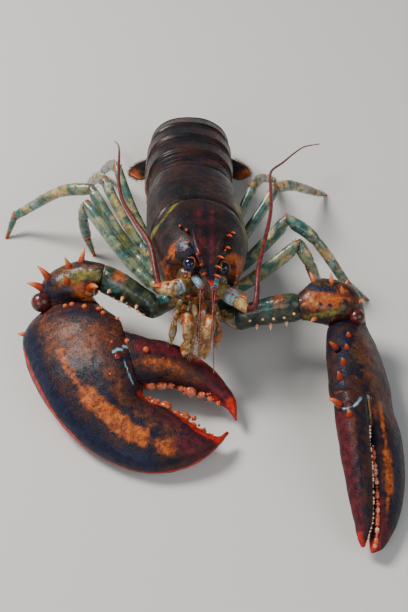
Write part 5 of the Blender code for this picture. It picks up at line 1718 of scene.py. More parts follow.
@dataclass
class Legs:
    """Four pairs of walking legs that end in plain points."""

    hips: tuple = (66.0, 51.5, 37.5, 24.0)
    reach: float = 14.0
    sink: float = 0.9
    # Knee, wrist, root of the last joint and tip.
    points: dict = field(default_factory=lambda: {
        "right": (((-71, 69, 46), (-75, 72.5, 31), (-74, 74, 14), (-70, 72, 0)),
                  ((-70, 85, 45), (-91, 91, 37), (-122, 95, 13), (-128, 88, 0)),
                  ((-62, 93, 45), (-68, 106, 36), (-75, 126, 14), (-79, 137, 0)),
                  ((-55, 108, 43), (-60, 122, 33), (-67, 142, 12), (-71, 152, 0))),
        "left": (((56, 37, 44), (63, 31, 33), (70, 29, 14), (74, 31, 0)),
                 ((50, 52, 50), (66, 42, 43), (86, 31, 17), (101, 33, 0)),
                 ((45, 92, 40), (56, 103, 32), (72, 120, 12), (82, 130, 0)),
                 ((32, 104, 32), (37, 117, 26), (44, 136, 9), (48, 146, 0)))})
    sizes: tuple = (1.0, 1.0, 0.92, 0.86)
    bristles: int = 110

    def tufts(self, centre: Array, radius: float, chance: Chance, count: int = 26) -> list[Surface]:
        """Short red bristles round a joint.

        Args:
            centre: the middle of the joint.
            radius: of the joint, in millimetres.
            chance: the source of random numbers.
            count: how many bristles.

        Returns:
            The bristles.
        """
        ways = unit(chance.normal(0, 1, (count, 3)))
        return [thorn(centre + way * radius * 0.7, centre + way * (radius + 1.1), 0.28, 0.1, 0.6) for way in ways]

    def granules(self, grid: Array, chance: Chance, count: int) -> list[Surface]:
        """Pale grains scattered over the upper side of a shin.

        Args:
            grid: the rings of the shin.
            chance: the source of random numbers.
            count: how many grains.

        Returns:
            The grains.
        """
        rows, columns, _ = grid.shape
        made = []
        for _ in range(count):
            row, column = chance.integers(4, rows - 4), chance.integers(0, columns // 2)
            centre = grid[row, column]
            made.append(knob(centre, (0.34, 0.38), centre - grid[row].mean(axis=0), 1.0, 5, 8))
        return made

    def build_one(self, shop: Workshop, number: int, side: str, chance: Chance) -> None:
        """Make one leg in three pieces, with the bristles of its foot.

        Args:
            shop: makes the pieces.
            number: the leg, from 0 at the front.
            side: left or right.
            chance: the source of random numbers.
        """
        knee, wrist, finger, tip = (np.array(point, float) for point in self.points[side][number])
        hip, outward = Underside().hip(self.hips[number], side)
        size = self.sizes[number]
        name = f"leg_{number + 2}_{side}"
        path = bend_route(hip + outward * (GAP / 2), hip + outward * self.reach, knee, 12)
        knee_way = bisector(path[-2], knee, wrist)
        stations = np.array(((0.0, 4.4, 4.6, 4.6), (0.09, 4.3, 4.6, 4.6), (0.13, 3.5, 3.8, 3.8), (0.17, 3.9, 4.3, 4.3),
                             (0.26, 3.3, 4.0, 4.0), (0.30, 2.8, 3.4, 3.4), (0.34, 3.2, 4.1, 4.0), (0.6, 3.2, 4.6, 4.3),
                             (0.88, 3.4, 4.5, 4.3), (0.95, 3.3, 4.1, 4.1), (1.0, 2.9, 3.6, 3.6)))
        stations = stations * (1, size, size, size)
        upper = limb(path, stations, UP, 90, 30, outward, knee_way)
        rough = bumps((0.10, 3.0, 71), (0.05, 1.2, 72))
        parts = [grid_surface(upper).raised(rough), *self.tufts(knee - knee_way * 1.2, 3.6 * size, chance, 14)]
        masks = {Tone.OLIVE: patches(12.0, 76, 0.0, 0.6, 0.75),
                 Tone.TEAL: patches(9.0, 77, 0.1, 0.6, 0.8),
                 Tone.ORANGE: either(near(knee, 3.6, 0.8), near(path[3], 2.6, 0.8)),
                 Tone.RED: times(near(knee, 2.2), 0.8),
                 Tone.BLUE: times(near(knee - knee_way * 7, 4.0), 0.45),
                 Tone.PALE: patches(8.0, 73, 0.1, 0.8, 0.6)}
        shop.piece(f"{name}_thigh", Surface.join(parts), "leg_shell", [f"{name}_upper"], masks)
        finger_way = bisector(wrist, finger, tip)
        stations = np.array(((0.0, 3.0, 3.6, 3.6), (0.05, 3.3, 4.0, 3.9), (0.2, 3.5, 4.2, 3.9), (0.33, 3.2, 3.8, 3.6),
                             (0.40, 2.6, 3.0, 3.0), (0.45, 2.9, 3.4, 3.3), (0.7, 2.8, 3.2, 3.2), (0.94, 2.5, 2.9, 2.9),
                             (1.0, 2.1, 2.4, 2.4))) * (1, size, size, size)
        shin = limb(np.array((knee, wrist, finger)), stations, UP, 90, 28, knee_way, finger_way)
        parts = [grid_surface(shin).raised(rough), *self.granules(shin, chance, 60),
                 *self.tufts(wrist, 3.2 * size, chance, 12),
                 *self.tufts(finger - finger_way * 1.0, 2.5 * size, chance, 14)]
        masks = {Tone.TEAL: patches(8.0, 78, 0.0, 0.6, 0.85),
                 Tone.ORANGE: either(near(finger, 3.6, 0.8), times(near(wrist, 2.8, 0.8), 0.8), near(knee, 2.8, 0.8)),
                 Tone.RED: times(near(finger, 2.2), 0.9),
                 Tone.BLUE: times(near((wrist + finger) / 2, 6.0), 0.5),
                 Tone.PALE: patches(7.0, 74, 0.0, 0.7, 0.65)}
        shop.piece(f"{name}_shank", Surface.join(parts), "leg_shell", [f"{name}_shin"], masks)
        end = tip + unit(tip - finger) * self.sink
        stations = ((0.0, 2.1, 2.4, 2.4), (0.12, 2.2, 2.5, 2.5), (0.45, 1.7, 1.9, 1.9), (0.8, 1.1, 1.3, 1.3),
                    (0.95, 0.9, 1.0, 1.0), (1.0, 0.7, 0.8, 0.8))
        foot = limb(np.array((finger, (finger + end) / 2, end)), stations, np.array((0, 1, 0.2)), 50, 20, finger_way)
        foot[..., 2] = np.maximum(foot[..., 2], 0.0)
        bristles = chance.integers(14, 46, self.bristles)
        columns = chance.integers(0, 20, self.bristles)
        roots = foot[bristles, columns]
        hairs = strands(roots, roots - foot[bristles].mean(axis=1) + unit(end - finger) * 0.9, 1.5, 0.07, chance,
                        foot.mean(axis=1), 0.2)
        masks = {Tone.TEAL: times(near((finger + tip) / 2, 6.0, 0.8), 0.5),
                 Tone.ORANGE: either(near(tip, 6.0, 0.8), times(near(finger, 3.0, 0.8), 0.8)),
                 Tone.RED: times(near(tip, 3.4), 0.9)}
        shop.piece(f"{name}_claw", grid_surface(foot).raised(bumps((0.04, 1.5, 75))), "leg_shell",
                   [f"{name}_foot"], masks)
        hairs.points[:, 2] = np.maximum(hairs.points[:, 2], 0.02)
        shop.piece(f"{name}_bristles", hairs, "hair")

    def build(self, shop: Workshop) -> None:
        """Make all eight legs.

        Args:
            shop: makes the pieces.
        """
        chance = np.random.default_rng(23)
        for side in SIDES:
            for number in range(4):
                self.build_one(shop, number, side, chance)


@dataclass
class ClawSection:
    """The frames of a claw along its length."""

    middle: Array
    across: Array
    up: Array
    half: Array
    above: Array
    below: Array

    @classmethod
    def read(cls, rows: Sequence, count: int) -> "ClawSection":
        """Frames at even steps through rows.

        Args:
            rows: outer point, inner point, height above and height below.
            count: how many frames.

        Returns:
            The frames.
        """
        flat = spline([(*outer, *inner, above, below) for outer, inner, above, below in rows], count)
        outer, inner = flat[:, :3], flat[:, 3:6]
        middle = (outer + inner) / 2
        across = unit(inner - outer)
        up = unit(np.cross(across, np.gradient(middle, axis=0)))
        up = np.where(up[:, 2:3] < 0, -up, up)
        return cls(middle, across, up, np.linalg.norm(inner - outer, axis=1) / 2, flat[:, 6], flat[:, 7])

    def grid(self, columns: int, power: float = 2.3) -> Array:
        """Rings at the frames."""
        return ring_grid(self.middle, self.across, self.up, self.half, self.above, self.below, columns, power)


@dataclass
class Hinge:
    """The plane between a palm and its free finger."""

    start: Point
    end: Point
    opens: Point
    clear: float
    depth: float = 40.0

    def frame(self) -> tuple[Array, float, Array, Array, Array]:
        """Middle, half length, and the directions along it, up and out."""
        start, end = np.array(self.start, float), np.array(self.end, float)
        along = unit(end - start)
        up = unit(np.cross(along, np.array(self.opens, float)))
        if up[2] < 0:
            up = -up
        out = unit(np.cross(up, along))
        if out @ np.array(self.opens) < 0:
            out = -out
        return (start + end) / 2, float(np.linalg.norm(end - start)) / 2, along, up, out

    def block(self, beyond_start: float = 12.0) -> Surface:
        """A box on the finger's side of the plane, to cut the palm with.

        Args:
            beyond_start: how far it reaches past the start of the hinge.

        Returns:
            The box.
        """
        middle, half, along, up, out = self.frame()
        low = middle - along * (half + beyond_start)
        corners = []
        for x in (0, 1):
            for y in (0, 1):
                for z in (-1, 1):
                    reach = x * (2 * half + beyond_start + self.clear)
                    corners.append(low + along * reach + out * (y * self.depth) + up * (z * 40.0))
        faces = [(0, 1, 3, 2), (4, 6, 7, 5), (0, 4, 5, 1), (2, 3, 7, 6), (0, 2, 6, 4), (1, 5, 7, 3)]
        return Surface(np.array(corners), faces, np.zeros(8))

    def fittings(self, shop: Workshop, name: str, surface: Surface, pixel: Sequence[float], radius: float) -> None:
        """Make the leathery skin in the slot of the hinge and the dark knuckle beside it.

        Args:
            shop: makes the pieces.
            name: the claw.
            surface: what the knuckle sits on.
            pixel: where the photograph shows the knuckle.
            radius: of the knuckle, in millimetres.
        """
        middle, half, along, up, _ = self.frame()
        place = np.linspace(-0.93, 0.93, 40)
        centres = middle + along * (place * half)[:, None]
        thick = 7.5 * (1 - place ** 2) ** 0.4 * (1 + 0.05 * np.cos(place * 60))
        skin = grid_surface(ring_grid(centres, np.cross(up, along), up, 1.0, thick, thick, 24, 2.0))
        shop.piece(f"{name}_hinge_skin", skin, "membrane")
        point, way = surface.spot(pixel)
        ball = knob(point - way * radius * 0.2, (radius * 0.6, radius), way, 0.0, 20, 28)
        shop.piece(f"{name}_knuckle", ball.raised(bumps((0.1, 1.2, 85))), "joint_ball")

    def finger_rows(self, rows: Sequence, count: int, columns: int, power: float = 2.3) -> Array:
        """Rings of the free finger, the first one parallel to the plane.

        Args:
            rows: outer point, inner point, height above and height below.
            count: how many rings.
            columns: points in each ring.
            power: the superellipse's power.

        Returns:
            The grid of points.
        """
        middle, half, along, up, out = self.frame()
        section = ClawSection.read(rows, count)
        share = (1 - smooth(np.linspace(0, 1, count), 0.0, 1.0 / (len(rows) - 1)))[:, None]
        target = middle + out * GAP + (section.middle - section.middle[0]) * (1 - share)
        section.middle = section.middle * (1 - share) + share * target
        section.across = unit(section.across * (1 - share) + along * share)
        section.up = unit(section.up * (1 - share) + up * share)
        section.half = section.half * (1 - share[:, 0]) + half * 0.97 * share[:, 0]
        return section.grid(columns, power)


@dataclass
class Crusher:
    """The heavy claw on the animal's right."""

    palm_rows: tuple = (
        ((-94, 3, 20), (-61, 1, 30), 10, 10), ((-101, -4, 15), (-54, -5, 30), 14, 12),
        ((-104, -13, 11), (-47, -13, 30), 17, 14), ((-102, -26, 9), (-38, -28, 28), 18, 14),
        ((-95, -44, 8), (-33, -46, 26), 18, 13), ((-84, -62, 7), (-34, -57, 22), 16, 12),
        ((-68, -81, 6), (-31, -61, 18), 14, 11), ((-49, -94, 6), (-22, -64, 16), 12.5, 9),
        ((-29, -100, 6), (-11, -70, 14), 11, 8), ((-9, -97, 7), (-1, -77, 12), 8.5, 6.5),
        ((5, -88, 8), (7, -80, 11), 5, 4.5), ((13.6, -77.0, 10.0), (12.6, -75.9, 10.4), 0.7, 0.7))
    finger_rows: tuple = (
        ((-43, -21.5, 28), (-34.5, -52, 21), 12, 11), ((-33, -24, 26), (-25.5, -50, 19), 12, 11),
        ((-22, -24.5, 24), (-17, -49, 17), 11, 10), ((-10, -27.5, 20), (-8.5, -51, 15), 10, 9),
        ((2, -34.5, 16), (0, -52, 13), 8.5, 7.5), ((11, -44, 13), (8, -56, 11), 6.5, 5.5),
        ((17.5, -54, 11), (13.5, -60, 10), 4, 3.5), ((18.2, -67, 9.5), (17.4, -67.4, 9.5), 0.7, 0.7))
    hinge: Hinge = field(default_factory=lambda: Hinge((-46, -19, 28), (-37.5, -54, 20), (1, 0, 0), 0.0))
    palm_teeth: tuple = (
        ((-32, -60, 18.5), 2.2), ((-27.5, -62, 17.5), 3.2), ((-21.5, -64, 16.5), 4.2), ((-15.5, -67.5, 15), 2.8),
        ((-11, -69.5, 14.5), 3.6), ((-6, -74, 13.5), 2.2), ((-1.5, -77, 12.5), 1.8), ((3, -79.5, 12), 1.4))
    finger_teeth: tuple = (
        ((-30, -51, 20), 3.4), ((-24.5, -50.5, 19), 2.8), ((-19, -49.5, 18), 2.0), ((-13, -50.5, 16.5), 2.0),
        ((-7.5, -51.5, 15), 3.6), ((-1.5, -52.5, 13.5), 2.4), ((3.5, -54.5, 12.5), 1.8), ((8, -57, 11.5), 1.5))
    spines: tuple = (
        ((-109, -9, 16), (-99, -11, 14), 2.2), ((-45, -12, 38), (-52, -15, 31), 2.2),
        ((-57, -3, 39), (-60, -9, 32), 2.2), ((-68, -3, 41), (-68, -9, 33), 2.2), ((-77, -4, 39), (-77, -9, 31), 2.0))

    def molars(self, teeth: tuple, out: Point, chance: Chance) -> list[Surface]:
        """Crushing teeth: worn, uneven lumps, each with smaller ones round its foot.

        Args:
            teeth: the middle and the radius of each.
            out: the way that they point.
            chance: the source of random numbers.

        Returns:
            The teeth.
        """
        made = []
        for centre, radius in teeth:
            made.append(knob(centre, (radius * 0.85, radius * 0.98), out, 0.62, 12, 20))
            for _ in range(6):
                shift = chance.normal(0, 1, 3) * (radius * 0.9, 0.5, 0.9)
                small = radius * chance.uniform(0.26, 0.5)
                made.append(knob(np.array(centre) + shift + np.array(out) * 0.2, (small, small), out, 0.7, 7, 12))
        return [Surface.join(made).raised(bumps((0.22, 1.8, 84)))]

    def palm_masks(self) -> dict[Tone, Mask]:
        """Coloured zones of the palm and its fixed finger."""
        rim = ((17, 329), (25, 356), (33, 376), (41.5, 393), (55, 416), (66, 429), (83, 447), (99.5, 459), (116, 467),
               (142.6, 475.5), (161, 477), (182, 471), (207, 457), (222, 444))
        gape = ((139, 393), (152, 401), (166, 405), (182, 417), (197, 429), (212, 437), (226, 434))
        outer = [row[0] for row in self.palm_rows]
        return {
            Tone.BROWN: either(stroke(0.75, 20.0, (52, 322), (62, 345), (84, 340), (104, 330), soft=0.8),
                               stroke(0.6, 10.0, (100, 355), (120, 392), (150, 420), (182, 437))),
            Tone.ORANGE: either(stroke(0.75, 5.0, (60, 352), (66, 366), (82, 388)),
                                stroke(1.0, 9.5, (88, 396), (104, 410), (124, 428), (142, 437), soft=0.8),
                                stroke(0.75, 8.0, (158, 444), (172, 449)),
                                stroke(0.4, 11.0, (70, 335), (86, 350))),
            Tone.INK_AND_SHADE: either(stroke(0.9, 10.0, (28, 340), (42, 384), (70, 424), (108, 453), (150, 464)),
                             stroke(0.6, 5.0, (48, 318), (78, 312), (108, 322)),
                             stroke(0.6, 6.0, (92, 372), (112, 400))),
            Tone.WINE: either(stroke(0.85, 13.0, (186, 444), (214, 447)),
                              stroke(0.6, 5.0, (150, 412), (180, 426), (205, 438))),
            Tone.RED: either(stroke(0.85, 1.6, *rim, soft=0.8), times(along_path(outer, 1.6, 0.5), 0.9),
                             stroke(0.8, 3.2, *gape), stroke(1.0, 8.0, (222, 438), (229, 433))),
            Tone.BLUE: either(stroke(0.8, 1.4, (113, 352), (117, 349), (122, 350), soft=0.8),
                              stroke(0.7, 1.3, (123, 346), (131, 348), (134, 343), soft=0.8),
                              stroke(0.75, 1.2, (124, 360), (128, 372), (133, 384))),
        }

    def build(self, shop: Workshop) -> None:
        """Make the palm with its fixed finger, the free finger and what sits on them.

        Args:
            shop: makes the pieces.
        """
        chance = np.random.default_rng(31)
        relief = bumps((0.35, 16.0, 81), (0.16, 4.5, 82), (0.06, 1.6, 83))
        palm = grid_surface(ClawSection.read(self.palm_rows, 200).grid(140)).raised(relief)
        palm.points[:, 2] = np.maximum(palm.points[:, 2], 0.0)
        wrist = palm.beads(((65, 304, 1.6, 1.4), (71, 303.5, 1.7, 1.5), (84, 306, 1.7, 1.8), (98, 308, 1.6, 1.6),
                            (103, 312, 1.5, 1.5), (110, 374, 0.8, 0.5), (129, 341, 2.6, 1.9), (112, 341, 0.9, 0.6)))
        outer, *row = self.spines
        spikes = [thorn(outer[1], outer[0], outer[2])]
        spikes += [thorn(root, np.array(root) * 0.4 + np.array(tip) * 0.6, radius * 0.85) for tip, root, radius in row]
        shop.piece("crusher_palm_shell", palm, "claw_shell", ["crusher_palm", "crusher_fixed_finger"],
                   self.palm_masks(), self.hinge.block())
        shop.piece("crusher_palm_spines", Surface.join([*wrist, *spikes]), "claw_shell")
        teeth = Surface.join(self.molars(self.palm_teeth, (0.15, 0.95, 0.1), chance))
        shop.piece("crusher_palm_teeth", teeth, "tooth_shell")
        finger = grid_surface(self.hinge.finger_rows(self.finger_rows, 130, 110)).raised(relief)
        spikes = finger.beads(((145, 349, 1.9, 2.6),))
        masks = {
            Tone.BROWN: stroke(0.7, 9.0, (140, 362), (170, 372), (200, 382)),
            Tone.ORANGE: stroke(0.7, 7.0, (150, 360), (168, 364), (178, 370)),
            Tone.INK_AND_SHADE: stroke(0.6, 6.0, (128, 366), (140, 374), (156, 380)),
            Tone.WINE: either(stroke(0.9, 7.5, (140, 346), (166, 349), (188, 354), (208, 367), (224, 386), (232, 404)),
                              stroke(0.8, 8.0, (205, 385), (226, 398))),
            Tone.RED: either(stroke(0.75, 3.0, (145, 387), (166, 385), (190, 395), (210, 396), (226, 408)),
                             stroke(1.0, 7.5, (232, 404), (238, 417)),
                             stroke(0.7, 2.0, (188, 352), (208, 364), (226, 382), (238, 402))),
            Tone.BLUE: stroke(0.6, 1.4, (128, 356), (131, 370), (137, 386), (146, 389)),
        }
        shop.piece("crusher_finger_shell", Surface.join([finger, *spikes]), "claw_shell", ["crusher_finger"], masks)
        teeth = Surface.join(self.molars(self.finger_teeth, (0.0, -0.95, -0.1), chance))
        shop.piece("crusher_finger_teeth", teeth, "tooth_shell")
        self.hinge.fittings(shop, "crusher", palm, (118, 355), 2.3)


@dataclass
class Cutter:
    """The slender claw on the animal's left, rolled onto its outer edge."""

    palm_rows: tuple = (
        ((91, -11, 20), (74, -18, 36), 8.5, 8.5), ((94, -19, 12), (72.5, -26, 38), 11, 10),
        ((96.5, -32, 7), (72.5, -40, 40), 13, 12), ((99, -49, 4), (72, -56, 40), 14, 12),
        ((101, -64, 2), (72, -70, 38), 13, 11), ((103, -79, 1), (85.2, -84, 27.6), 11, 9),
        ((104.5, -97, 1), (85.8, -100, 23.3), 9.5, 7.5), ((103, -114, 1), (86.2, -114, 19.2), 8.5, 6.5),
        ((98.5, -130, 1.5), (86.4, -128, 15), 7, 5.5), ((94, -140, 3), (86, -139.5, 11.8), 5.2, 4.2),
        ((90.2, -146.4, 4.6), (85.4, -146, 9.6), 3.8, 3.2), ((86.6, -150, 7), (85.2, -150, 7.8), 1.2, 1.2))
    finger_rows: tuple = (
        ((71.4, -72, 38), (84.6, -70, 29.6), 8.5, 8), ((71.6, -83, 36.5), (84.9, -85, 26.3), 8.5, 8),
        ((72.6, -95, 33), (85, -100, 23.1), 8, 7.5), ((74, -108, 29), (85.2, -113, 19.6), 7.5, 7),
        ((75.4, -121, 24), (85.2, -126, 15.4), 6.5, 6), ((77, -133, 19), (84.6, -137, 12), 5, 4.5),
        ((78.6, -140.5, 14.2), (82.8, -142.5, 10), 3.5, 3.3), ((79.4, -145, 11.2), (82.2, -145.6, 9), 2.3, 2.1),
        ((80.2, -147.7, 9.2), (81.4, -147.7, 8.5), 0.9, 0.9))
    hinge: Hinge = field(default_factory=lambda: Hinge((71, -71, 38), (85.4, -67.5, 29.5), (-0.3, -1, -0.2), 0.2, 17.0))
    spines: tuple = (
        ((79.5, -33, 44.5), (80, -34, 39), 1.9), ((77.5, -42.5, 45.5), (78.5, -43.5, 39.5), 1.9),
        ((74.5, -53, 46), (76, -54, 40), 1.9), ((71.5, -62.5, 46), (73.5, -63.5, 39.5), 1.9),
        ((68.5, -42, 46.5), (73, -43, 41.5), 1.7), ((88, -70, 33.5), (88.5, -70, 26), 1.5),
        ((94, -64, 29), (93, -64, 20), 1.4))
    hinge_strip: tuple = ((87.5, -67.5, 34.2), (88.0, -76.0, 32.6), (88.3, -88.0, 27.8))
    strip_stations: tuple = ((0.0, 0.6, 0.6, 0.6), (0.2, 1.5, 1.6, 1.6), (0.8, 1.4, 1.6, 1.6), (1.0, 0.5, 0.5, 0.5))
    finger_spines: tuple = (((65.3, -78, 42.5), (73, -80, 37), 2.0), ((75, -86, 43.6), (76, -87, 38), 1.6))

    def bead_row(self, grid: Array, rows: tuple, start: float, count: int, size: float,
                 white: tuple[float, float], chance: Chance) -> list[Surface]:
        """Beads of uneven size and whiteness along the shoulder of a finger's inner edge.

        Args:
            grid: the rings of the finger.
            rows: the rows that the finger was read from.
            start: where the row starts, from 0 to 1.
            count: how many beads.
            size: the radius of a bead, in millimetres.
            white: the lowest and highest tip value.
            chance: the source of random numbers.

        Returns:
            The beads.
        """
        section = ClawSection.read(rows, len(grid))
        made = []
        for place in np.linspace(start, 0.94, count):
            k = int(place * (len(grid) - 1))
            way = unit(section.across[k] + 1.25 * VIEW.back())
            edge = grid[k][np.argmax((grid[k] - section.middle[k]) @ way)]
            radius = size * (1.25 - 0.6 * place) * (1.25 if chance.random() < 0.4 else 0.6)
            made.append(knob(edge, (radius * 1.15, radius), way, chance.uniform(*white), 8, 12))
            if chance.random() < 0.45:
                small = radius * 0.5
                shift = section.across[k] * -radius * 1.3 + chance.normal(0, 0.3, 3)
                made.append(knob(edge + shift, (small, small), way, 0.6, 6, 9))
        return made

    def build(self, shop: Workshop) -> None:
        """Make the palm, the free finger and their rows of beads.

        Args:
            shop: makes the pieces.
        """
        chance = np.random.default_rng(37)
        relief = bumps((0.25, 13.0, 91), (0.12, 4.0, 92), (0.05, 1.5, 93))
        palm_grid = ClawSection.read(self.palm_rows, 200).grid(130, 2.5)
        palm = grid_surface(palm_grid).raised(relief)
        palm.points[:, 2] = np.maximum(palm.points[:, 2], 0.0)
        outer = [row[0] for row in self.palm_rows]
        masks = {
            Tone.OLIVE: stroke(0.4, 9.0, (355, 345), (360, 372)),
            Tone.BROWN: either(stroke(0.7, 10.0, (362, 340), (372, 375), (378, 410)),
                               stroke(0.5, 6.0, (378, 500), (386, 470))),
            Tone.ORANGE: either(stroke(0.8, 2.2, (380, 404), (383, 425), (386, 446), soft=0.95),
                                stroke(0.9, 4.2, (387, 452), (389, 470), (390, 492), soft=0.95),
                                stroke(0.7, 2.6, (388, 498), (386, 520), soft=0.95),
                                stroke(0.4, 4.0, (368, 355), (372, 375))),
            # The first stroke of this tone is painted shadow: it darkens the palm's inner face, left of its row of
            # spines, to near-black.
            Tone.INK_AND_SHADE: either(stroke(0.7, 7.0, (345, 335), (343, 365), (341, 385)),
                             stroke(0.8, 4.0, (397, 440), (398, 480), (396, 510)),
                             stroke(0.6, 4.0, (374, 430), (377, 465), (380, 490))),
            Tone.WINE: either(stroke(0.9, 13.0, (373, 505), (380, 535)),
                              stroke(0.7, 4.0, (383, 355), (390, 395), (394, 425))),
            Tone.RED: either(times(along_path(outer, 1.8, 0.8), 0.5), stroke(0.95, 7.0, (371, 550), (374, 546)),
                             stroke(0.7, 2.2, (336, 393), (346, 392), (358, 393))),
            Tone.BLUE: stroke(0.7, 1.3, (362, 396), (366, 402), (367, 412), soft=0.8),
        }
        spikes = [thorn(root, tip, radius, 0.04, 0.8) for tip, root, radius in self.spines]
        shop.piece("cutter_palm_shell", palm, "claw_shell", ["cutter_palm"], masks, self.hinge.block())
        shop.piece("cutter_palm_spines", Surface.join(spikes), "claw_shell")
        beads = self.bead_row(palm_grid, self.palm_rows, 0.53, 46, 1.35, (0.35, 0.8), chance)
        shop.piece("cutter_palm_beads", Surface.join(beads), "tooth_shell")
        finger_grid = self.hinge.finger_rows(self.finger_rows, 130, 96, 2.6)
        finger = grid_surface(finger_grid).raised(relief)
        masks = {
            Tone.BROWN: stroke(0.6, 3.5, (352, 412), (356, 450), (359, 490)),
            Tone.INK_AND_SHADE: stroke(0.4, 3.0, (350, 410), (352, 430)),
            Tone.WINE: either(stroke(0.95, 10.0, (342, 420), (345, 440), (347, 470), (352, 505), (357, 530)),
                              stroke(0.7, 8.0, (356, 500), (362, 530))),
            Tone.RED: either(stroke(0.5, 1.2, (334, 415), (336, 440), (341, 475), (349, 515)),
                             stroke(1.0, 6.5, (357, 538), (360, 546))),
            Tone.BLUE: either(stroke(0.6, 1.3, (334, 405), (344, 409), (354, 406)),
                              stroke(0.85, 1.5, (354, 406), (358, 402), (361, 398))),
        }
        spikes = [thorn(root, tip, radius) for tip, root, radius in self.finger_spines]
        shop.piece("cutter_finger_shell", Surface.join([finger, *spikes]), "claw_shell", ["cutter_finger"], masks)
        beads = self.bead_row(finger_grid, self.finger_rows, 0.16, 74, 0.62, (0.8, 1.0), chance)
        shop.piece("cutter_finger_beads", Surface.join(beads), "tooth_shell")
        self.hinge.fittings(shop, "cutter", finger, (348, 402), 1.8)
        path = np.array(self.hinge_strip)
        start, end = unit(path[1] - path[0]), unit(path[2] - path[1])
        strip = grid_surface(limb(path, self.strip_stations, UP, 60, 20, start, end))
        shop.piece("cutter_hinge_strip", strip.raised(bumps((0.12, 1.6, 94))), "membrane", (),
                   {Tone.BLUE: times(near(path[0], 5.0, 0.6), 0.8), Tone.BROWN: times(near(path[2], 14.0, 0.6), 0.8),
                    Tone.PALE: stroke(0.7, 0.8, (368.3, 400), (369.5, 408), (370.5, 418), soft=0.8)})


@dataclass
class Arm:
    """Ischium, merus and carpus between the body and one claw."""

    name: str
    side: str
    elbow: Point
    shoulder: Point
    enter: Point
    carpus_rows: tuple
    palm_rows: tuple
    carpus_spines: tuple
    merus_spines: tuple
    merus_beads: tuple
    ball: tuple
    masks: dict[Tone, Mask]
    hip_forward: float = 82.0
    reach: float = 8.4
    half_width: float = 7.0
    half_height: float = 8.0

    def carpus_grid(self) -> Array:
        """Rings of the carpus, which turns from the arm into the claw."""
        shoulder, enter = np.array(self.shoulder, float), unit(np.array(self.enter, float))
        up = unit(UP - enter * enter[2])
        across = np.cross(up, enter)
        if across[1] < 0:
            across = -across
        claw = ClawSection.read(self.palm_rows, len(self.palm_rows))
        middle, claw_across, claw_up = claw.middle[0], claw.across[0], claw.up[0]
        back = np.cross(claw_across, claw_up)
        if back[1] < 0:
            back = -back
        frames = [(shoulder + enter * GAP / 2, across, up, self.half_width, self.half_height, self.half_height)]
        centres = [(np.array(front, float) + np.array(rear, float)) / 2 for front, rear, _, _ in self.carpus_rows]
        points = [shoulder, *centres, middle]
        for number, (front, rear, above, below) in enumerate(self.carpus_rows):
            outward = unit(np.array(rear, float) - np.array(front, float))
            rise = unit(np.cross(outward, points[number + 2] - points[number]))
            rise = rise if rise[2] > 0 else -rise
            half = np.linalg.norm(np.array(rear, float) - np.array(front, float)) / 2
            frames.append((points[number + 1], outward, rise, half, above, below))
        frames.append((middle + back * GAP, -claw_across, claw_up, claw.half[0], claw.above[0], claw.below[0]))
        flat = spline([np.hstack((c, a, u, h, t, b)) for c, a, u, h, t, b in frames], 90)
        across_all, up_all = unit(flat[:, 3:6]), unit(flat[:, 6:9])
        return ring_grid(flat[:, :3], across_all, up_all, flat[:, 9], flat[:, 10], flat[:, 11], 84, 2.3)

    def build(self, shop: Workshop) -> None:
        """Make the three pieces of the arm and the ball of its wrist.

        Args:
            shop: makes the pieces.
        """
        elbow, shoulder = np.array(self.elbow, float), np.array(self.shoulder, float)
        enter = unit(np.array(self.enter, float))
        hip, outward = Underside().hip(self.hip_forward, self.side)
        path = bend_route(hip + outward * (GAP / 2), hip + outward * self.reach, elbow, 10)
        elbow_way = bisector(path[-2], elbow, shoulder)
        rough = bumps((0.2, 6.0, 101), (0.12, 2.2, 102))
        stations = ((0.0, 5.4, 6.0, 6.0), (0.3, 5.3, 6.1, 6.1), (0.55, 5.4, 6.2, 6.2), (1.0, 5.4, 7.0, 7.0))
        ischium = grid_surface(limb(path, stations, UP, 60, 48, outward, elbow_way)).raised(rough)
        shop.piece(f"{self.name}_ischium_shell", ischium, "merus_shell", [f"{self.name}_ischium"],
                   {Tone.TEAL: patches(7.0, 104, -0.2, 0.4, 0.9), Tone.BLUE: times(near(elbow, 5.0), 0.5),
                    Tone.PALE: patches(6.0, 103, 0, 0.6, 0.6)})
        path = np.array((elbow, (elbow + shoulder) / 2 + UP, shoulder))
        stations = ((0.0, 5.4, 7.0, 7.0), (0.06, 5.9, 7.8, 7.4), (0.25, 6.0, 8.2, 7.6), (0.7, 7.0, 9.6, 8.6),
                    (0.9, 7.1, 9.4, 8.6), (0.96, 6.6, 8.6, 8.2), (1.0, 6.2, 8.0, 8.0))
        merus = grid_surface(limb(path, stations, UP, 90, 72, elbow_way, enter)).raised(rough)
        spikes = [thorn(root, tip, radius) for tip, root, radius in self.merus_spines]
        spikes += merus.beads(self.merus_beads, 1.0)
        shop.piece(f"{self.name}_merus_shell", Surface.join([merus, *spikes]), "merus_shell", [f"{self.name}_merus"],
                   {Tone.TEAL: patches(9.0, 105, 0.0, 0.6, 0.7),
                    Tone.ORANGE: times(near(elbow * 0.35 + shoulder * 0.65 + UP * 8, 5.0, 0.9), 0.9),
                    Tone.BLUE: either(times(near(elbow, 7.0, 0.8), 0.45), times(near(shoulder, 7.0, 0.8), 0.4))})
        carpus = grid_surface(self.carpus_grid()).raised(rough)
        spikes = [thorn(root, tip, radius) for tip, root, radius in self.carpus_spines]
        shop.piece(f"{self.name}_carpus_shell", Surface.join([carpus, *spikes]), "arm_shell", [f"{self.name}_carpus"],
                   self.masks)
        centre, radius = self.ball
        shop.piece(f"{self.name}_wrist_ball", knob(centre, (radius, radius), (0, -0.4, 1), 0.0, 24, 30), "joint_ball")


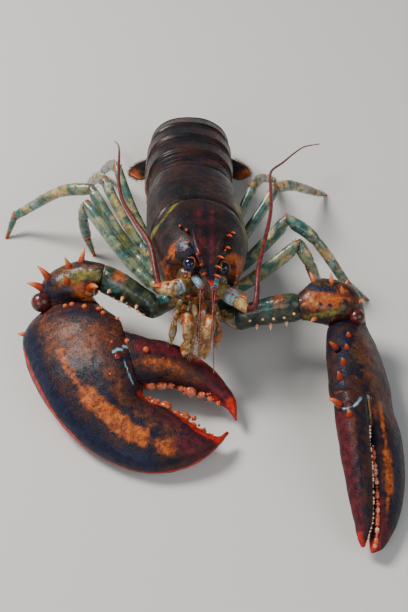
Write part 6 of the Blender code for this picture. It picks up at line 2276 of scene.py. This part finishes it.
def crusher_arm() -> Arm:
    """The arm of the heavy claw."""
    return Arm("crusher", "right", (-29, -4, 33), (-59, 10.5, 43), (-0.97, 0.15, 0.2),
               (((-64, 3.6, 38), (-70, 23, 42), 11, 11), ((-65, 3.4, 34), (-92, 17, 36), 13, 12)),
               Crusher().palm_rows,
               (((-80, 15, 55), (-79, 12, 42), 2.4), ((-96, 13, 50), (-89, 10, 38), 2.4),
                ((-80, 3, 53), (-80, 5, 40), 2.4), ((-103, 9, 40), (-92, 8, 34), 2.4),
                ((-60, -4, 50), (-66, 4, 38), 2.6), ((-69, 24, 54), (-72, 14, 42), 2.4)),
               (((-55, -4, 45), (-53, 3, 38), 1.7), ((-47, -7, 42), (-46, 0, 36), 1.7),
                ((-39, -10, 38), (-38, -3, 33), 1.6)),
               ((112, 300, 0.8, 0.9), (121, 302, 0.9, 1.0), (126, 304, 0.7, 0.8), (116, 308, 1.0, 1.4),
                (127, 311, 1.0, 1.5), (136, 314, 1.0, 1.6), (143, 316, 0.9, 1.3)),
               ((-94.5, 1.5, 31.5), 5.8),
               {Tone.OLIVE: stroke(0.8, 7.0, (66, 278), (80, 276), (96, 275)),
                Tone.ORANGE: either(stroke(1.0, 8.0, (82, 290), (92, 294)),
                                    stroke(0.5, 5.0, (60, 284), (72, 283))),
                Tone.INK_AND_SHADE: stroke(0.7, 6.0, (40, 285), (52, 294), (64, 297)),
                Tone.PALE: stroke(0.6, 3.5, (88, 292), (93, 298))})


def cutter_arm() -> Arm:
    """The arm of the slender claw."""
    return Arm("cutter", "left", (20, -8, 28), (55, -8, 38), (0.97, 0.0, 0.2),
               (((62, -16, 36), (66, 8, 42), 11, 11), ((70, -18.5, 36.5), (85, 4, 38), 12, 12)),
               Cutter().palm_rows,
               (((60.5, 8, 50), (65, -2, 42), 2.2), ((55, -14, 46), (62, -9, 39), 2.2),
                ((72, 5, 53), (73, -4, 41), 2.4), ((77, -7, 54), (76, -8, 40), 2.2),
                ((82, 3, 49), (78, -6, 40), 2.2), ((91, -8, 44), (82, -9, 36), 2.2),
                ((60, -20, 38), (66, -12, 34), 2.0)),
               (((30, -17, 28), (31, -9, 27), 1.6), ((38, -18, 29), (38, -9, 29), 1.6),
                ((47, -17, 31), (47, -9, 31), 1.8)),
               ((250, 322, 0.9, 1.2), (262, 320, 0.9, 1.3), (273, 319, 1.0, 1.4), (284, 318, 0.9, 1.3),
                (294, 314, 0.9, 1.2)),
               ((86.3, -16.2, 38.2), 4.8),
               {Tone.OLIVE: either(stroke(0.8, 3.5, (306, 318), (318, 316), (332, 313), (342, 308)),
                                   stroke(0.5, 5.0, (312, 285), (330, 283))),
                Tone.ORANGE: either(stroke(1.0, 9.0, (312, 302), (322, 299), (334, 300)),
                                    stroke(0.6, 5.0, (342, 290), (350, 300))),
                Tone.INK_AND_SHADE: either(stroke(0.8, 3.5, (308, 284), (318, 289), (334, 291)),
                                 stroke(0.9, 2.0, (320, 304), (321, 305), soft=0.7),
                                 stroke(0.9, 2.2, (330, 305), (331, 306), soft=0.7)),
                Tone.PALE: stroke(0.6, 3.5, (311, 300), (316, 303))})


@dataclass
class Studio:
    """Pale floor, soft lights and the camera at the photograph's angle."""

    sensor: float = 36.0
    # For each light its place, size, power and colour.
    lights: dict = field(default_factory=lambda: {
        "key": ((-0.75, 0.35, 1.1), 0.55, 25.0, (1.0, 0.97, 0.92)),
        "fill": ((0.9, -0.7, 0.9), 1.1, 7.0, (0.92, 0.96, 1.0)),
        "front": ((-0.5, -1.0, 0.7), 0.8, 5.0, (1.0, 1.0, 1.0))})
    sky: Colour = (0.75, 0.8, 0.88)
    sky_strength: float = 0.2
    floor_colour: Colour = (0.62, 0.61, 0.585)
    floor_half: float = 3.0

    def camera(self) -> None:
        """Set the camera."""
        data = bpy.data.cameras.new("camera")
        data.sensor_fit = "VERTICAL"
        data.sensor_height = self.sensor
        data.lens = VIEW.focal / VIEW.height * self.sensor
        item = place_object("camera", data)
        back = Vector(VIEW.back())
        target = Vector((*MODEL_SHIFT[:2], VIEW.target_height)) * MM
        item.location = target + back * VIEW.distance * MM
        item.rotation_euler = back.to_track_quat("Z", "Y").to_euler()
        bpy.context.scene.camera = item

    def light(self, name: str, place: Point, size: float, power: float, colour: Colour) -> None:
        """One soft light that faces the model.

        Args:
            name: the light's name.
            place: where it stands, in metres.
            size: its width, in metres.
            power: its power, in watts.
            colour: its colour.
        """
        data = bpy.data.lights.new(name, "AREA")
        data.shape = "DISK"
        data.size = size
        data.energy = power
        data.color = colour
        item = place_object(name, data)
        item.location = place
        item.rotation_euler = Vector(place).to_track_quat("Z", "Y").to_euler()

    def floor(self) -> None:
        """A plain pale floor."""
        board = Board("floor_finish")
        board.shader.inputs["Base Color"].default_value = (*self.floor_colour, 1.0)
        board.shader.inputs["Roughness"].default_value = 0.75
        data = bpy.data.meshes.new("floor")
        half = self.floor_half
        data.from_pydata([(-half, -half, 0), (half, -half, 0), (half, half, 0), (-half, half, 0)], [], [(0, 1, 2, 3)])
        data.materials.append(board.material)
        item = place_object("floor", data)

    def build(self) -> None:
        """Set up the whole studio."""
        self.camera()
        self.floor()
        for name, light in self.lights.items():
            self.light(name, *light)
        world = bpy.data.worlds.new("studio")
        bpy.context.scene.world = world
        world.use_nodes = True
        world.node_tree.nodes["Background"].inputs[0].default_value = (*self.sky, 1.0)
        world.node_tree.nodes["Background"].inputs[1].default_value = self.sky_strength


def main() -> None:
    """Build every piece round the frame, from the body out to the claws."""
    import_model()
    shop = Workshop()
    Studio().build()
    Carapace().build(shop)
    Underside().build(shop)
    Abdomen().build(shop)
    TailFan().build(shop)
    Head().build(shop)
    Legs().build(shop)
    crusher_arm().build(shop)
    cutter_arm().build(shop)
    Crusher().build(shop)
    Cutter().build(shop)
    log.info("the model has %d triangles", shop.triangles)


if __name__ == "__main__":
    logging.basicConfig(level=logging.INFO)
    main()
